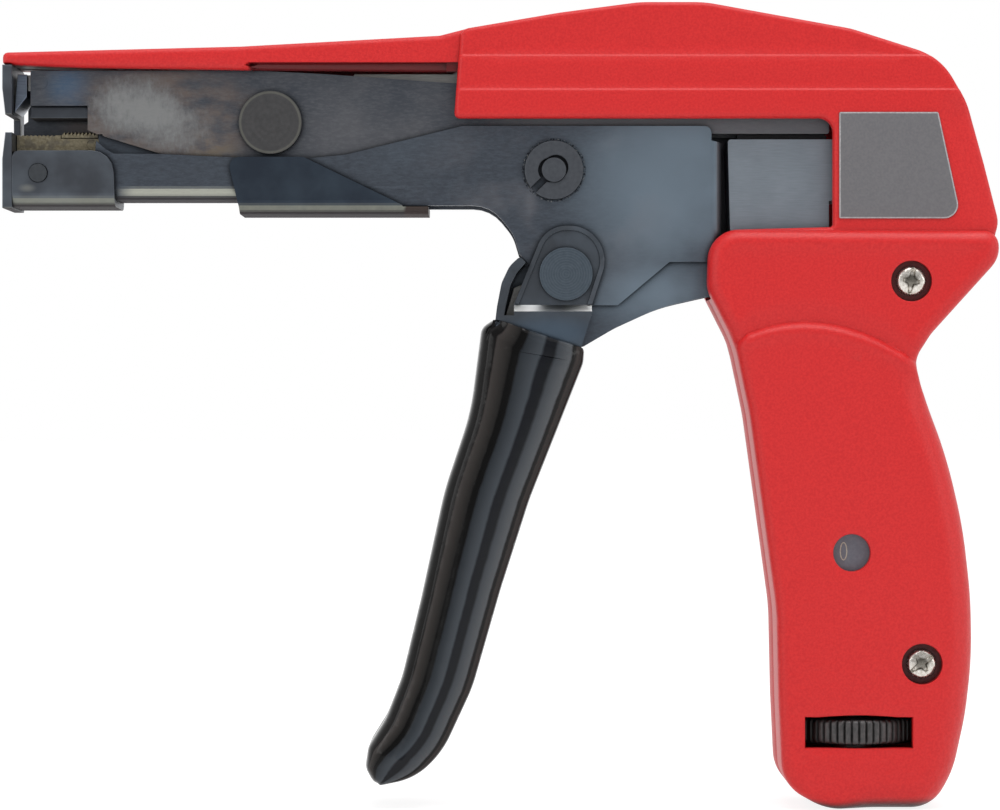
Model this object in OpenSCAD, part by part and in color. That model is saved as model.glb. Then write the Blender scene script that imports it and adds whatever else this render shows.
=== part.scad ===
// Cable tie tensioning tool: a pistol shaped hand tool that pulls a plastic tie tight and cuts its tail.
// Frame: +Z up, nose toward -X, grip toward +X, the side with the screws toward -Y.
// The origin is under the middle of the tool, on the level of the lowest point of the grip.

/* [Overall] */
// Length from the nose to the back of the grip
tool_len = 164; // [150:1:180]
// Height from the foot of the grip to the top of the housing
tool_h = 132.6; // [122:0.2:146]

/* [Housing] */
// Half thickness of the grip
grip_half = 11.5; // [10.5:0.1:13]
// Half thickness of the housing above the grip
band_half = 9.2; // [8.6:0.1:10]
// Half thickness of the strip along the top of the barrel
strip_half = 7.6; // [7:0.1:8.4]
// Wall of the two shells
shell_wall = 2; // [1.6:0.1:2.6]
// Rounding of the grip's outer edge
grip_edge = 4; // [2.5:0.1:5]
// Rounding of the upper housing's outer edge
band_edge = 1; // [0.6:0.1:1.4]
// Rounding of the top strip's outer edge
strip_edge = 1.2; // [0.6:0.1:1.6]

/* [Steel frame] */
// Half width of the barrel frame
frame_half = 6.5; // [6.2:0.1:7]
// Sheet thickness of the barrel frame
frame_t = 1.3; // [1:0.1:1.6]
// Outer bend radius of the folded sheets
bend_r = 2.2; // [1.8:0.1:3]
// Sheet thickness of the cutting lever and the handle frame
lever_t = 1.4; // [1:0.1:1.6]
// Sheet thickness of the clip and the saddle round the barrel
clip_t = 1.2; // [0.8:0.1:1.6]
// Drop of the saddle's floor under the frame
saddle_drop = 1.2; // [0.4:0.1:1.2]

/* [Nose] */
// Thickness of the nose plate
nose_t = 1.6; // [1.2:0.1:2.2]
// Half width of the nose plate
nose_half = 7.7; // [7:0.1:8.4]
// Height of the nose plate
nose_h = 23.6; // [21:0.2:26]
// Widest tie that the tool takes
tie_w = 4.8; // [3.6:0.1:5]
// Height of the slot that the tie goes through
slot_h = 2.9; // [2.4:0.1:3.4]
// Depth of the dish round the slot
dish = 0.5; // [0.3:0.05:0.8]
// Thickness of the cutter blade
blade_t = 2; // [1.6:0.1:2.1]
// Height of the cutter blade
blade_h = 6.3; // [5.6:0.1:6.6]

/* [Pins] */
// Radius of the trigger pin
trigger_pin_r = 2.8; // [2.2:0.1:3.2]
// Radius of the trigger pin's head
trigger_head_r = 4.35; // [4.1:0.05:4.6]
// Radius of the drive pin
drive_pin_r = 2; // [1.6:0.1:2.3]
// Radius of the snap rings on the drive pin
snap_r = 4.8; // [4.2:0.1:5]
// Radius of the cutter's pivot pin
cutter_pin_r = 2.5; // [2:0.1:2.8]
// Radius of the cutter pivot pin's head
cutter_head_r = 5.2; // [4.6:0.1:5.4]
// Radius of the small cross pins
cross_pin_r = 1.5; // [1.2:0.1:1.7]
// Height of a pin's head
head_h = 1.4; // [1:0.1:1.8]

/* [Trigger] */
// Sheet thickness of the trigger
trigger_t = 1.3; // [1:0.1:1.5]
// Wall of the dipped sleeve on the trigger
sleeve_t = 1.5; // [1.2:0.1:2]
// Rounding of the sleeve's outer edge
sleeve_edge = 3; // [1.5:0.1:3.4]
// Travel of the trigger in degrees
trigger_turn = 30; // [20:1:32]

/* [Tension setting] */
// Radius of the setting wheel
wheel_r = 10.4; // [9.8:0.1:10.5]
// Thickness of the setting wheel
wheel_t = 4.2; // [3.4:0.1:4.6]
// Width of the slot in the grip where the wheel shows
wheel_slot_w = 17.6; // [16:0.2:18]
// Radius of the threaded rod
rod_r = 2.5; // [2:0.1:2.7]
// Radius of the round window over the scale
window_r = 3.05; // [2.6:0.05:3.6]
// Wire thickness of the tension spring
spring_wire = 1.6; // [1.2:0.1:1.8]
// Mean radius of the tension spring
spring_r = 5; // [4.7:0.1:5.2]
// Curls of the tension spring
spring_curls = 10; // [8:1:11]

/* [Screws and label] */
// Radius of the housing screw's head
screw_head_r = 2.4; // [1.9:0.05:2.4]
// Radius of the housing screw's shank
screw_r = 1.5; // [1.2:0.05:1.6]
// Radius of the recess round a screw's head
recess_r = 3.3; // [2.8:0.05:3.3]
// Thickness of the label plate
label_t = 0.3; // [0.2:0.05:0.5]

/* [Hidden] */
// One overrun for every cut
over = 0.6;
// Running clearance round a pin
run_gap = 0.06;
// Clearance of a seated pin
seat_gap = 0.02;
// Clearance between sheets that slide past each other
slide_gap = 0.1;
// Free space round pieces that only pass each other
free_gap = 0.4;
// How far the ledge of the top strip is set back
ledge_in = 1.2;

// Layers across the tool, from the middle outward
frame_in = frame_half - frame_t;
lever_out = frame_in - slide_gap;
lever_in = lever_out - lever_t;
core_half = lever_in - slide_gap;
bar_half = (tie_w + slide_gap * 2) / 2;
cheek_in = bar_half + slide_gap;
clip_out = frame_half + clip_t;
ear_in = frame_half + slide_gap;
ear_out = ear_in + trigger_t;
channel_out = ear_out + trigger_t;
sleeve_half = channel_out + sleeve_t;
tongue_half = core_half / 2.4;
drive_in = bar_half + slide_gap;
drive_out = core_half - slide_gap / 2;
band_in = band_half - shell_wall;
grip_in = grip_half - shell_wall;
strip_in = strip_half - shell_wall;

// A place as shares of the tool's length, from the nose, and of its height
function at(s) = [(s[0] - 1 / 2) * tool_len, s[1] * tool_h];

// Pivots and fixed places
trigger_at = at([0.5656, 0.6622]);
drive_at = at([0.5537, 0.7919]);
cutter_at = at([0.2685, 0.8514]);
tension_at = at([0.9024, 0.7866]);
rivet_at = at([0.036, 0.788]);
screw_places_share = [[0.9104, 0.6531], [0.9207, 0.1802]];
window_at = at([0.8506, 0.3175]);
wheel_at = at([0.8577, 0.0958]);
rod_y = -(grip_half - wheel_r - slide_gap);

// Levels of the barrel
frame_floor = at([0, 0.7555])[1];
core_floor = frame_floor + frame_t;
core_step = core_floor + frame_t * 2.45;
bar_low = core_step + slide_gap;
bar_t = 3.4;
strip_low = bar_low + bar_t;
strip_t = 2.9;
strip_top = strip_low + strip_t;
tie_room = 2.75;
guide_low = strip_top + tie_room;
guide_t = 1.9;
nose_x = -tool_len / 2;
nose_back = nose_x + nose_t;
strip_x = nose_back + slide_gap;
blade_back = nose_back + slide_gap + blade_t;
frame_end = at([0.404, 0])[0];
frame_rear = at([0.7225, 0])[0];

// Gripper on the draw bar
pawl_len = 6.2;
pawl_x = strip_x + pawl_len * 1.2;
pawl_sink = 0.6;
pawl_pin_r = cross_pin_r * 0.5;
pawl_at = [pawl_x + pawl_len - cross_pin_r * 0.8, strip_low + strip_t * 0.45];
strip_floor = strip_low + strip_t * 0.28;
leaf_t = 0.3;

// Cutter's own places
blade_top = at([0, 0.912])[1];
blade_block_t = 4.4;
blade_screw_at = [blade_back + blade_block_t / 2, blade_top - blade_block_t * 0.3];
tail_at = at([0.815, 0.862]);

// Linkage from the trigger to the draw bar
link_len = norm(drive_at - trigger_at);
tongue_len = link_len * 0.514;
link_lean = atan2(trigger_at[0] - drive_at[0], drive_at[1] - trigger_at[1]);
fork_len = link_len - tongue_len;
tongue_tilt = trigger_turn / 2 - link_lean;
tongue_at = trigger_at + tongue_len * [sin(tongue_tilt), cos(tongue_tilt)];
arm_len = 18.7;
arm_tilt = trigger_turn / 2;
draw_at = drive_at + arm_len * [-sin(arm_tilt), cos(arm_tilt)];
fork_gap = 0.15;
ring_turn = 23;
fork_tilt = atan2(tongue_at[0] - drive_at[0], drive_at[1] - tongue_at[1]);

// Levels of the tension setting, up the grip
slot_room = 0.45;
scallops = 24;
scallop_r = 0.72;
wheel_low = wheel_at[1] - wheel_t / 2;
bearing_r = 3.6;
bearing_floor = shell_wall * 1.1;
nut_h = 7;
nut_low = window_at[1] - nut_h * 0.714;
nut_top = nut_low + nut_h;
nut_half = 6;
seat_low = at([0, 0.588])[1];
seat_t = 3;
rod_head_low = at([0, 0.712])[1];
rod_head_h = 1.5;
rod_head_r = 4.2;
tine_room = 2.2;
tine_w = 1.5;
scale_w = 10;
scale_h = 17;
scale_t = 0.8;

// Outlines. Each row is a corner: share of the length, share of the height, share of the height as radius
strip_share = [
    [0, 0.9235, 0.003], [0, 0.938, 0.006], [0.239, 0.9455, 0.037], [0.439, 0.959, 0.02], [0.480, 0.972, 0.01],
    [0.480, 0.914, 0.001], [0.240, 0.9165, 0.01], [0.080, 0.9195, 0.01]];
grip_share = [
    [0.709, 0.7175, 0.045], [0.997, 0.716, 0.03], [1.0005, 0.683, 0.04], [0.931, 0.588, 0.07],
    [0.914, 0.555, 0.04], [0.9215, 0.524, 0.15], [0.948, 0.437, 0.6], [0.9645, 0.350, 0.6],
    [0.9725, 0.262, 0.6], [0.9735, 0.185, 0.6], [0.967, 0.115, 0.4], [0.954, 0.042, 0.15],
    [0.932, 0, 0.1], [0.825, 0, 0.08],
    [0.782, 0.030, 0.05], [0.778, 0.134, 0.08], [0.776, 0.246, 0.3], [0.749, 0.489, 0.3],
    [0.734, 0.577, 0.15], [0.707, 0.643, 0.04]];
frame_share = [
    [0.0098, 0.815, 0], [0.0925, 0.815, 0], [0.0935, 0.829, 0], [0.102, 0.819, 0], [0.111, 0.8125, 0],
    [0.159, 0.812, 0.004], [0.248, 0.807, 0.02], [0.308, 0.807, 0.06], [0.344, 0.811, 0.06],
    [0.462, 0.847, 0.02], [0.7122, 0.847, 0.03], [0.712, 0.829, 0.001], [0.7225, 0.826, 0],
    [0.7225, 0.678, 0.001], [0.670, 0.678, 0.004],
    [0.618, 0.624, 0.004], [0.545, 0.624, 0.004], [0.533, 0.643, 0.002], [0.530, 0.673, 0.002],
    [0.519, 0.688, 0.002], [0.513, 0.713, 0.05], [0.490, 0.748, 0.06], [0.0098, 0.748, 0]];
lever_share = [
    [0.092, 0.838, 0.004], [0.158, 0.813, 0.02], [0.248, 0.795, 0.03], [0.298, 0.800, 0.03],
    [0.385, 0.800, 0.03], [0.500, 0.838, 0.01], [0.831, 0.838, 0.003], [0.831, 0.880, 0.02],
    [0.560, 0.898, 0.05], [0.452, 0.901, 0.1], [0.321, 0.9125, 0.2], [0.25, 0.917, 0.05]];
liner_share = [
    [0.572, 0.570, 0.003], [0.585, 0.574, 0.003], [0.616, 0.5965, 0.15], [0.661, 0.622, 0.2],
    [0.711, 0.636, 0.1], [0.741, 0.643, 0.002], [0.741, 0.706, 0.004], [0.701, 0.711, 0.004],
    [0.691, 0.737, 0.004], [0.545, 0.737, 0.004], [0.536, 0.655, 0.02]];
sleeve_share = [
    [0.481, 0.596, 0.016], [0.494, 0.607, 0.012], [0.584, 0.570, 0.006], [0.583, 0.552, 0.03],
    [0.529, 0.383, 0.3], [0.500, 0.271, 0.3], [0.472, 0.150, 0.2], [0.442, 0.070, 0.06],
    [0.414, 0.037, 0.04], [0.374, 0.027, 0.014], [0.364, 0.049, 0.02], [0.367, 0.075, 0.03],
    [0.385, 0.111, 0.08], [0.401, 0.162, 0.2], [0.420, 0.259, 0.4], [0.444, 0.395, 0.4],
    [0.470, 0.491, 0.3]];
neck_share = [
    [0.498, 0.611, 0], [0.591, 0.611, 0], [0.577, 0.556, 0], [0.4895, 0.579, 0]];
ear_share = [
    [0.5095, 0.613, 0.002], [0.5454, 0.7226, 0.0434], [0.5873, 0.7226, 0.0434], [0.6082, 0.6863, 0.0434],
    [0.589, 0.613, 0.002]];
web_share = [
    [0.5195, 0.684, 0.004], [0.509, 0.672, 0.03], [0.501, 0.651, 0.03], [0.4965, 0.622, 0.03],
    [0.4935, 0.591, 0.02], [0.4905, 0.578, 0.002], [0.498, 0.576, 0.002], [0.501, 0.592, 0.02],
    [0.505, 0.622, 0.03], [0.510, 0.648, 0.03], [0.5165, 0.664, 0.02], [0.5255, 0.6765, 0.002]];
lining_share = [
    [0.5275, 0.690, 0.002], [0.507, 0.662, 0.01], [0.498, 0.622, 0.01], [0.493, 0.578, 0.002],
    [0.510, 0.578, 0.002], [0.522, 0.612, 0.002], [0.5325, 0.650, 0.002], [0.5325, 0.690, 0.002]];
saddle_share = [
    [0.2255, 0.808, 0.012], [0.302, 0.808, 0.01], [0.402, 0.748, 0.004], [0.402, 0.72, 0],
    [0.239, 0.72, 0], [0.2375, 0.745, 0]];
label_share = [
    [0.839, 0.8625, 0.002], [0.938, 0.8625, 0.002], [0.961, 0.731, 0.017], [0.839, 0.731, 0.002]];
tension_share = [
    [0.729, 0.831, 0.004], [0.850, 0.831, 0.01], [0.872, 0.815, 0.02], [0.930, 0.815, 0.025],
    [0.930, 0.760, 0.025], [0.838, 0.750, 0.002], [0.838, 0.718, 0.002], [0.7315, 0.7145, 0.002]];
cheek_share = [
    [0.236, 0.880, 0.02], [0.301, 0.880, 0.02], [0.335, 0.810, 0.01], [0.402, 0.780, 0.004],
    [0.402, 0.768, 0], [0.119, 0.768, 0], [0.104, 0.812, 0.006], [0.094, 0.829, 0.002]];

// Outline work
function unit(v) = v / norm(v);
function corners(rows) = [for (s = rows) concat(at(s), [s[2] * tool_h])];
function turned(p) = sign(sum([for (i = [0:len(p) - 1])
    let (q = p[(i + 1) % len(p)]) p[i][0] * q[1] - q[0] * p[i][1]]));
function sum(v, i = 0) = i == len(v) ? 0 : v[i] + sum(v, i + 1);
function bend(a, b, c) = (b[0] - a[0]) * (c[1] - a[1]) - (b[1] - a[1]) * (c[0] - a[0]);

// The same outline moved in by d, with its corner radii kept true to the new line
function moved_in(p, d) = let (way = turned(p), n = len(p)) [for (i = [0:n - 1])
    let (a = p[(i + n - 1) % n], b = p[i], c = p[(i + 1) % n],
        u = unit([b[0] - a[0], b[1] - a[1]]), v = unit([c[0] - b[0], c[1] - b[1]]),
        m = way * [-u[1], u[0]], k = way * [-v[1], v[0]],
        out = bend(a, b, c) * way > 0 ? -d : d)
    concat([b[0], b[1]] + (m + k) * d / (1 + m * k), [max(b[2] + out, over / 12)])];

// Points of an outline with its corners turned into arcs of a few steps
function rounded(p, steps = 4) = let (n = len(p)) [for (i = [0:n - 1])
    let (a = p[(i + n - 1) % n], b = p[i], c = p[(i + 1) % n],
        ba = [a[0] - b[0], a[1] - b[1]], bc = [c[0] - b[0], c[1] - b[1]],
        half = acos(max(-1, min(1, unit(ba) * unit(bc)))) / 2,
        reach = min(b[2] / tan(half), min(norm(ba), norm(bc)) * 0.49),
        r = reach * tan(half), mid = [b[0], b[1]] + unit(unit(ba) + unit(bc)) * reach / cos(half),
        from = [b[0], b[1]] + unit(ba) * reach - mid, to = [b[0], b[1]] + unit(bc) * reach - mid,
        sweep = 180 - 2 * half)
    each b[2] == 0 ? [[b[0], b[1]]] : [for (k = [0:steps])
        mid + (from * sin(sweep * (1 - k / steps)) + to * sin(sweep * k / steps)) / sin(sweep)]];

// Flat cap of a ring of points, cut into triangles ear by ear
function inside(q, a, b, c) = bend(a, b, q) >= 0 && bend(b, c, q) >= 0 && bend(c, a, q) >= 0;
function ear(p, ids, k) = let (n = len(ids), a = ids[(k + n - 1) % n], b = ids[k], c = ids[(k + 1) % n])
    k > n - 1 ? 0 :
    bend(p[a], p[b], p[c]) > 0
    && len([for (i = ids) if (i != a && i != b && i != c && inside(p[i], p[a], p[b], p[c])) 1]) == 0
    ? k : ear(p, ids, k + 1);
function ears(p, ids) = len(ids) < 4 ? [ids] :
    let (n = len(ids), k = ear(p, ids, 0))
    concat([[ids[(k + n - 1) % n], ids[k], ids[(k + 1) % n]]],
        ears(p, [for (i = [0:n - 1]) if (i != k) ids[i]]));
function left_turning(p) = turned(p) > 0 ? p : [for (i = [len(p) - 1:-1:0]) p[i]];

// A slab from the middle plane out to -Y, with its outer edge rolled over
module rolled_slab(rows, half, edge, steps = 3, arc = 4, inner = 0) {
    base = left_turning(rows);
    rings = concat([[inner, 0]], [for (k = [0:steps])
        [half - edge + edge * sin(90 * k / steps), edge * (1 - cos(90 * k / steps))]]);
    lines = [for (g = rings) rounded(moved_in(base, g[1]), arc)];
    n = len(lines[0]);
    last = len(rings) - 1;
    ids = [for (i = [0:n - 1]) i];
    points = [for (g = [0:last]) for (q = lines[g]) [q[0], -rings[g][0], q[1]]];
    sides = [for (g = [0:last - 1]) for (i = [0:n - 1]) let (j = (i + 1) % n)
        each [[g * n + i, (g + 1) * n + i, (g + 1) * n + j], [g * n + i, (g + 1) * n + j, g * n + j]]];
    low = [for (t = ears(lines[0], ids)) [t[0], t[1], t[2]]];
    high = [for (t = ears(lines[last], ids)) [last * n + t[2], last * n + t[1], last * n + t[0]]];
    polyhedron(points = points, faces = concat(sides, low, high));
}

// Shapes that lie in the plane of the tool, between two places across it
module side_cut(y0, y1) translate([0, y1, 0]) rotate([90, 0, 0]) linear_extrude(height = y1 - y0) children();
module sheet(rows, y0, y1) side_cut(y0, y1) polygon(rounded(rows));
module cross_pin(p, r, y0, y1) translate([p[0], y1, p[1]]) rotate([90, 0, 0])
    cylinder(r = r, h = y1 - y0, $fn = 64);
module both_sides() {
    children();
    mirror([0, 1, 0]) children();
}
module block(x0, x1, y0, y1, z0, z1) translate([x0, y0, z0]) cube([x1 - x0, y1 - y0, z1 - z0]);

// A folded sheet's section: a floor and two walls with bent corners, drawn along the tool
function fold_points(half, low, high, r) = concat([[-half, high]],
    [for (k = [0:8]) [-half + r - r * cos(90 * k / 8), low + r - r * sin(90 * k / 8)]],
    [for (k = [0:8]) [half - r + r * sin(90 * k / 8), low + r - r * cos(90 * k / 8)]],
    [[half, high]]);
module folded(x0, x1, half, low, high, t) translate([x0, 0, 0]) rotate([90, 0, 90])
    linear_extrude(height = x1 - x0) difference() {
        polygon(fold_points(half, low, high, bend_r));
        polygon(fold_points(half - t, low + t, high + over, bend_r - t));
    }

// One unbroken wire curled along Z from z0 to z1, with its ends run out straight for one wire
function wire_line(r, wire, curls, z0, z1) = let (steps = curls * 8, rise = (z1 - z0 - wire) / steps)
    concat([[r, -wire, z0 + wire / 2]],
        [for (k = [0:steps]) [r * cos(45 * k), r * sin(45 * k), z0 + wire / 2 + rise * k]],
        [[r, wire, z1 - wire / 2]]);
module wire_tube(line, wire) {
    n = len(line);
    points = [for (i = [0:n - 1])
        let (u = unit(line[min(i + 1, n - 1)] - line[max(i - 1, 0)]),
            side = unit(cross(u, [0, 0, 1])), top = cross(side, u))
        for (k = [0:5]) line[i] + (side * cos(60 * k) + top * sin(60 * k)) * wire / 2];
    sides = [for (i = [0:n - 2]) for (k = [0:5]) let (m = (k + 1) % 6)
        each [[i * 6 + k, i * 6 + m, (i + 1) * 6 + m], [i * 6 + k, (i + 1) * 6 + m, (i + 1) * 6 + k]]];
    caps = [for (k = [1:4]) each [[0, k + 1, k], [n * 6 - 6, n * 6 - 6 + k, n * 6 - 5 + k]]];
    polyhedron(points = points, faces = concat(sides, caps));
}
module curled(r, wire, curls, z0, z1) {
    line = wire_line(r, wire, curls, z0, z1);
    gap = min([for (k = [1:len(line) - 10]) norm(line[k + 8] - line[k])]) - wire;
    echo(str("least gap between the curls: ", gap));
    wire_tube(line, wire);
}

// Housing
function upper_rows(open) = [
    concat(at([0.460, 0.966]) - [open, 0], [0.012 * tool_h]),
    concat(at([0.560, 0.987]), [0.4 * tool_h]),
    concat(at([0.640, 1.0]), [0.15 * tool_h]),
    concat(at([0.705, 1.0]), [0.15 * tool_h]),
    concat(at([0.852, 0.967]), [0.1 * tool_h]),
    concat(at([0.941, 0.932]), [0.08 * tool_h]),
    concat(at([0.969, 0.872]), [0.1 * tool_h]),
    concat(at([0.985, 0.800]), [0.12 * tool_h]),
    concat(at([1.0, 0.727]), [0.03 * tool_h]),
    concat(at([0.985, 0.660]), [0.03 * tool_h]),
    concat(at([0.760, 0.660]) - [0, open], [0.002 * tool_h]),
    concat(at([0.739, 0.7175]) + [-open, open], [0.004 * tool_h]),
    concat(at([0.833, 0.7205]) + [-open, open], [0.004 * tool_h]),
    concat(at([0.833, 0.8555]) - [open, open], [0.017 * tool_h]),
    concat(at([0.4535, 0.8555]) - [open, open], [0.006 * tool_h])];

// Solid form of one half, without its hollow
module housing_form() {
    rolled_slab(corners(strip_share), strip_half, strip_edge, 2, 3);
    rolled_slab(upper_rows(0), band_half, band_edge, 2, 3);
    rolled_slab(corners(grip_share), grip_half, grip_edge, 3, 3);
}
module housing_hollow() {
    strip = moved_in(corners(strip_share), shell_wall);
    mid = at([0.5, 0.912]);
    // Hollow of the strip, open to the barrel under it, behind the strip's solid end
    side_cut(-strip_in, over) polygon([
        [at([0.1, 0])[0], mid[1]], [strip[2][0], strip[2][1]], [strip[3][0], strip[3][1]],
        [mid[0], strip[3][1]], [mid[0], mid[1]]]);
    sheet(moved_in(upper_rows(shell_wall * 2), shell_wall), -band_in, over);
    sheet(moved_in(corners(grip_share), shell_wall), -grip_in, over);
    // Ledge along the lower edge of the strip, set back from its face
    ledge = at([0.243, 0.9255]);
    side_cut(-strip_half - over, -strip_half + ledge_in) polygon([
        ledge, [at([0.5, 0])[0], ledge[1]], [at([0.5, 0])[0], 0], [ledge[0] - ledge_in, 0],
        [ledge[0] - ledge_in, ledge[1] - ledge_in]]);
    // Mouth where the handle frame and the barrel frame go in
    mouth = at([0.70, 0.632]);
    mouth_end = at([0.757, 0.72]);
    block(mouth[0], mouth_end[0], -frame_half - slide_gap, over, mouth[1], mouth_end[1]);
}
module left_housing() color("red") difference() {
    union() {
        difference() {
            housing_form();
            housing_hollow();
        }
        for (s = screw_places_share) cross_pin(at(s), recess_r + shell_wall / 2.5, -grip_in - slide_gap, 0);
    }
    for (s = screw_places_share) {
        cross_pin(at(s), recess_r, -grip_half - over, -grip_in);
        cross_pin(at(s), screw_r + seat_gap, -grip_half, over);
    }
    cross_pin(window_at, window_r, -grip_half - over, -grip_in + over);
    block(wheel_at[0] - wheel_slot_w / 2, wheel_at[0] + wheel_slot_w / 2, -grip_half - over, -grip_in + over,
        wheel_low - slot_room, wheel_low + wheel_t + slot_room);
    cross_pin(tension_at, cross_pin_r + seat_gap, -band_in - shell_wall / 2, 0);
}
module right_housing() color("red") difference() {
    union() {
        mirror([0, 1, 0]) difference() {
            housing_form();
            housing_hollow();
        }
        for (s = screw_places_share) cross_pin(at(s), recess_r, 0, grip_in + slide_gap);
    }
    for (s = screw_places_share) cross_pin(at(s), screw_r + seat_gap, -over, grip_in - shell_wall);
    cross_pin(tension_at, cross_pin_r + seat_gap, 0, band_in + shell_wall / 2);
}
module housing_screws() color("silver") for (s = screw_places_share) {
    cross_pin(at(s), screw_r, -grip_in, grip_in - shell_wall * 1.5);
    cross_pin(at(s), screw_head_r, -grip_in - head_h, -grip_in);
}
module label_plate() color("dimgray") sheet(corners(label_share), -band_half - label_t, -band_half);

// Steel frame
module frame_sides() both_sides() sheet(corners(frame_share), -frame_half, -frame_in);
// The frame's rear, bent inward to a web between the two sides
module frame_bend(z0, z1) translate([0, 0, z0]) linear_extrude(height = z1 - z0) difference() {
    front = frame_rear - bend_r * 1.5;
    polygon(rounded([[front, -frame_half, 0], [frame_rear, -frame_half, bend_r],
        [frame_rear, frame_half, bend_r], [front, frame_half, 0]], 8));
    polygon(rounded([[front - over, -frame_in, 0], [frame_rear - frame_t, -frame_in, bend_r - frame_t],
        [frame_rear - frame_t, frame_in, bend_r - frame_t], [front - over, frame_in, 0]], 8));
}
module barrel_frame() color("slategray") difference() {
    union() {
        intersection() {
            union() {
                frame_sides();
                block(nose_back, frame_end, -frame_in, frame_in, frame_floor, core_floor);
            }
            union() {
                folded(nose_back, frame_end, frame_half, frame_floor, tool_h, frame_t);
                block(frame_end, frame_rear - bend_r, -frame_half, frame_half, 0, tool_h);
                frame_bend(0, tool_h);
            }
        }
        frame_bend(at([0, 0.714])[1], at([0, 0.826])[1]);
        // Far side runs on behind the tension lever
        block(frame_rear - bend_r * 1.5, at([0.748, 0])[0], frame_in, frame_half, at([0, 0.714])[1],
            at([0, 0.840])[1]);
    }
    cross_pin(trigger_at, trigger_pin_r + seat_gap, -frame_half - over, frame_half + over);
    cross_pin(drive_at, drive_pin_r + seat_gap, -frame_half - over, frame_half + over);
    cross_pin(rivet_at, cross_pin_r + seat_gap, -frame_half - over, frame_half + over);
}
module handle_frame() color("slategray") difference() {
    both_sides() sheet(corners(liner_share), -lever_out - slide_gap, -lever_in);
    cross_pin(trigger_at, trigger_pin_r + seat_gap, -frame_half, frame_half);
}
module barrel_core() color("darkslategray") difference() {
    union() {
        block(nose_back + blade_t, at([0.402, 0])[0], -frame_in, frame_in, core_floor, core_step);
        both_sides() sheet(concat([[at([0.094, 0])[0], guide_low, 0], [at([0.205, 0])[0], guide_low, clip_t]],
            corners(cheek_share)), -core_half, -cheek_in);
    }
    // The folded frame's inner corner radius takes the edges of the block
    both_sides() block(nose_back, at([0.41, 0])[0], -frame_in - over, -frame_in + bend_r - frame_t,
        core_floor - over, core_floor + bend_r - frame_t);
    cross_pin(cutter_at, cutter_pin_r + seat_gap, -frame_half, frame_half);
    cross_pin(rivet_at, cross_pin_r + seat_gap, -frame_half, frame_half);
}
module tie_guide() color("slategray") block(blade_back + free_gap, at([0.15, 0])[0], -core_half, core_half,
    guide_low, guide_low + guide_t);
module nose_plate() color("slategray") difference() {
    top = at([0, 0.9225])[1];
    slot_mid = at([0, 0.8495])[1];
    side_cut(-nose_half, nose_half) polygon([
        [nose_back, top - nose_h], [nose_x, top - nose_h], [nose_x, slot_mid - slot_h * 2],
        [nose_x + dish, slot_mid - slot_h / 2], [nose_x + dish, slot_mid + slot_h / 2],
        [nose_x, slot_mid + slot_h * 2], [nose_x, top], [nose_back, top]]);
    block(nose_x - over, nose_back + over, -nose_half - over, tie_w / 2 + free_gap,
        slot_mid - slot_h / 2, slot_mid + slot_h / 2);
}
module front_clip() color("slategray") difference() {
    top = at([0, 0.816])[1];
    end = at([0.113, 0])[0];
    intersection() {
        folded(nose_back, end, clip_out, frame_floor - clip_t, top, clip_t);
        side_cut(-clip_out, clip_out) polygon(rounded([
            [nose_back, frame_floor - clip_t, 0], [nose_back, top, clip_t],
            [end - clip_t / 4, top, clip_t * 3], [end, frame_floor - clip_t, 0]]));
    }
    cross_pin(rivet_at, cross_pin_r + seat_gap, -clip_out - over, clip_out + over);
}
module clip_rivets() color("gray") both_sides()
    cross_pin(rivet_at, cross_pin_r, -clip_out - label_t, -core_half);
module barrel_saddle() color("slategray") {
    floor_z = frame_floor - saddle_drop - clip_t;
    intersection() {
        folded(at([0.22, 0])[0], at([0.43, 0])[0], clip_out, floor_z, tool_h, clip_t);
        union() {
            side_cut(-clip_out, clip_out) polygon(rounded(corners(saddle_share)));
            block(at([0.239, 0])[0], at([0.4275, 0])[0], -clip_out, clip_out, floor_z, floor_z + clip_t);
        }
    }
}

// Pins of the frame
module cutter_pivot_pin() color("gray") {
    cross_pin(cutter_at, cutter_pin_r, -lever_out - slide_gap, lever_out + slide_gap);
    both_sides() cross_pin(cutter_at, cutter_head_r, -lever_out - slide_gap - head_h, -lever_out - slide_gap);
}
module cutter_spring() color("silver") translate([cutter_at[0], 0, cutter_at[1]]) rotate([90, 0, 0])
    curled(cutter_pin_r + cross_pin_r / 2, cross_pin_r / 2, 3, -bar_half, bar_half);
module drive_pin() color("gray") cross_pin(drive_at, drive_pin_r, -frame_half - head_h, frame_half + head_h);
module drive_pin_rings() color("gray") both_sides() difference() {
    cross_pin(drive_at, snap_r, -frame_half - label_t * 3, -frame_half);
    cross_pin(drive_at, drive_pin_r + seat_gap, -frame_half - head_h, frame_half);
    // The bore stands clear of the pin on two sides, and the ring is open at one narrow place
    for (a = [180, 55]) cross_pin(drive_at + drive_pin_r * 0.3 * [cos(a), sin(a)], drive_pin_r,
        -frame_half - head_h, frame_half);
    translate([drive_at[0], 0, drive_at[1]]) rotate([0, ring_turn * 2, 0])
        block(-drive_pin_r * 0.3, drive_pin_r * 0.3, -frame_half - head_h, frame_half, -snap_r - over, 0);
}
module trigger_pin() color("gray") {
    cross_pin(trigger_at, trigger_pin_r, -ear_out - slide_gap, ear_out + head_h * 1.5);
    cross_pin(trigger_at, trigger_head_r, -ear_out - slide_gap - head_h, -ear_out - slide_gap);
}
module trigger_pin_ring() color("gray") difference() {
    cross_pin(trigger_at, trigger_head_r - run_gap, ear_out + slide_gap, ear_out + slide_gap + label_t * 3);
    cross_pin(trigger_at, trigger_pin_r + seat_gap, ear_out, ear_out + head_h);
    translate([trigger_at[0], 0, trigger_at[1]]) rotate([0, ring_turn * 6, 0]) block(-trigger_pin_r * 0.85,
        trigger_pin_r * 0.85, ear_out, ear_out + head_h, -trigger_head_r - over, 0);
}
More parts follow.
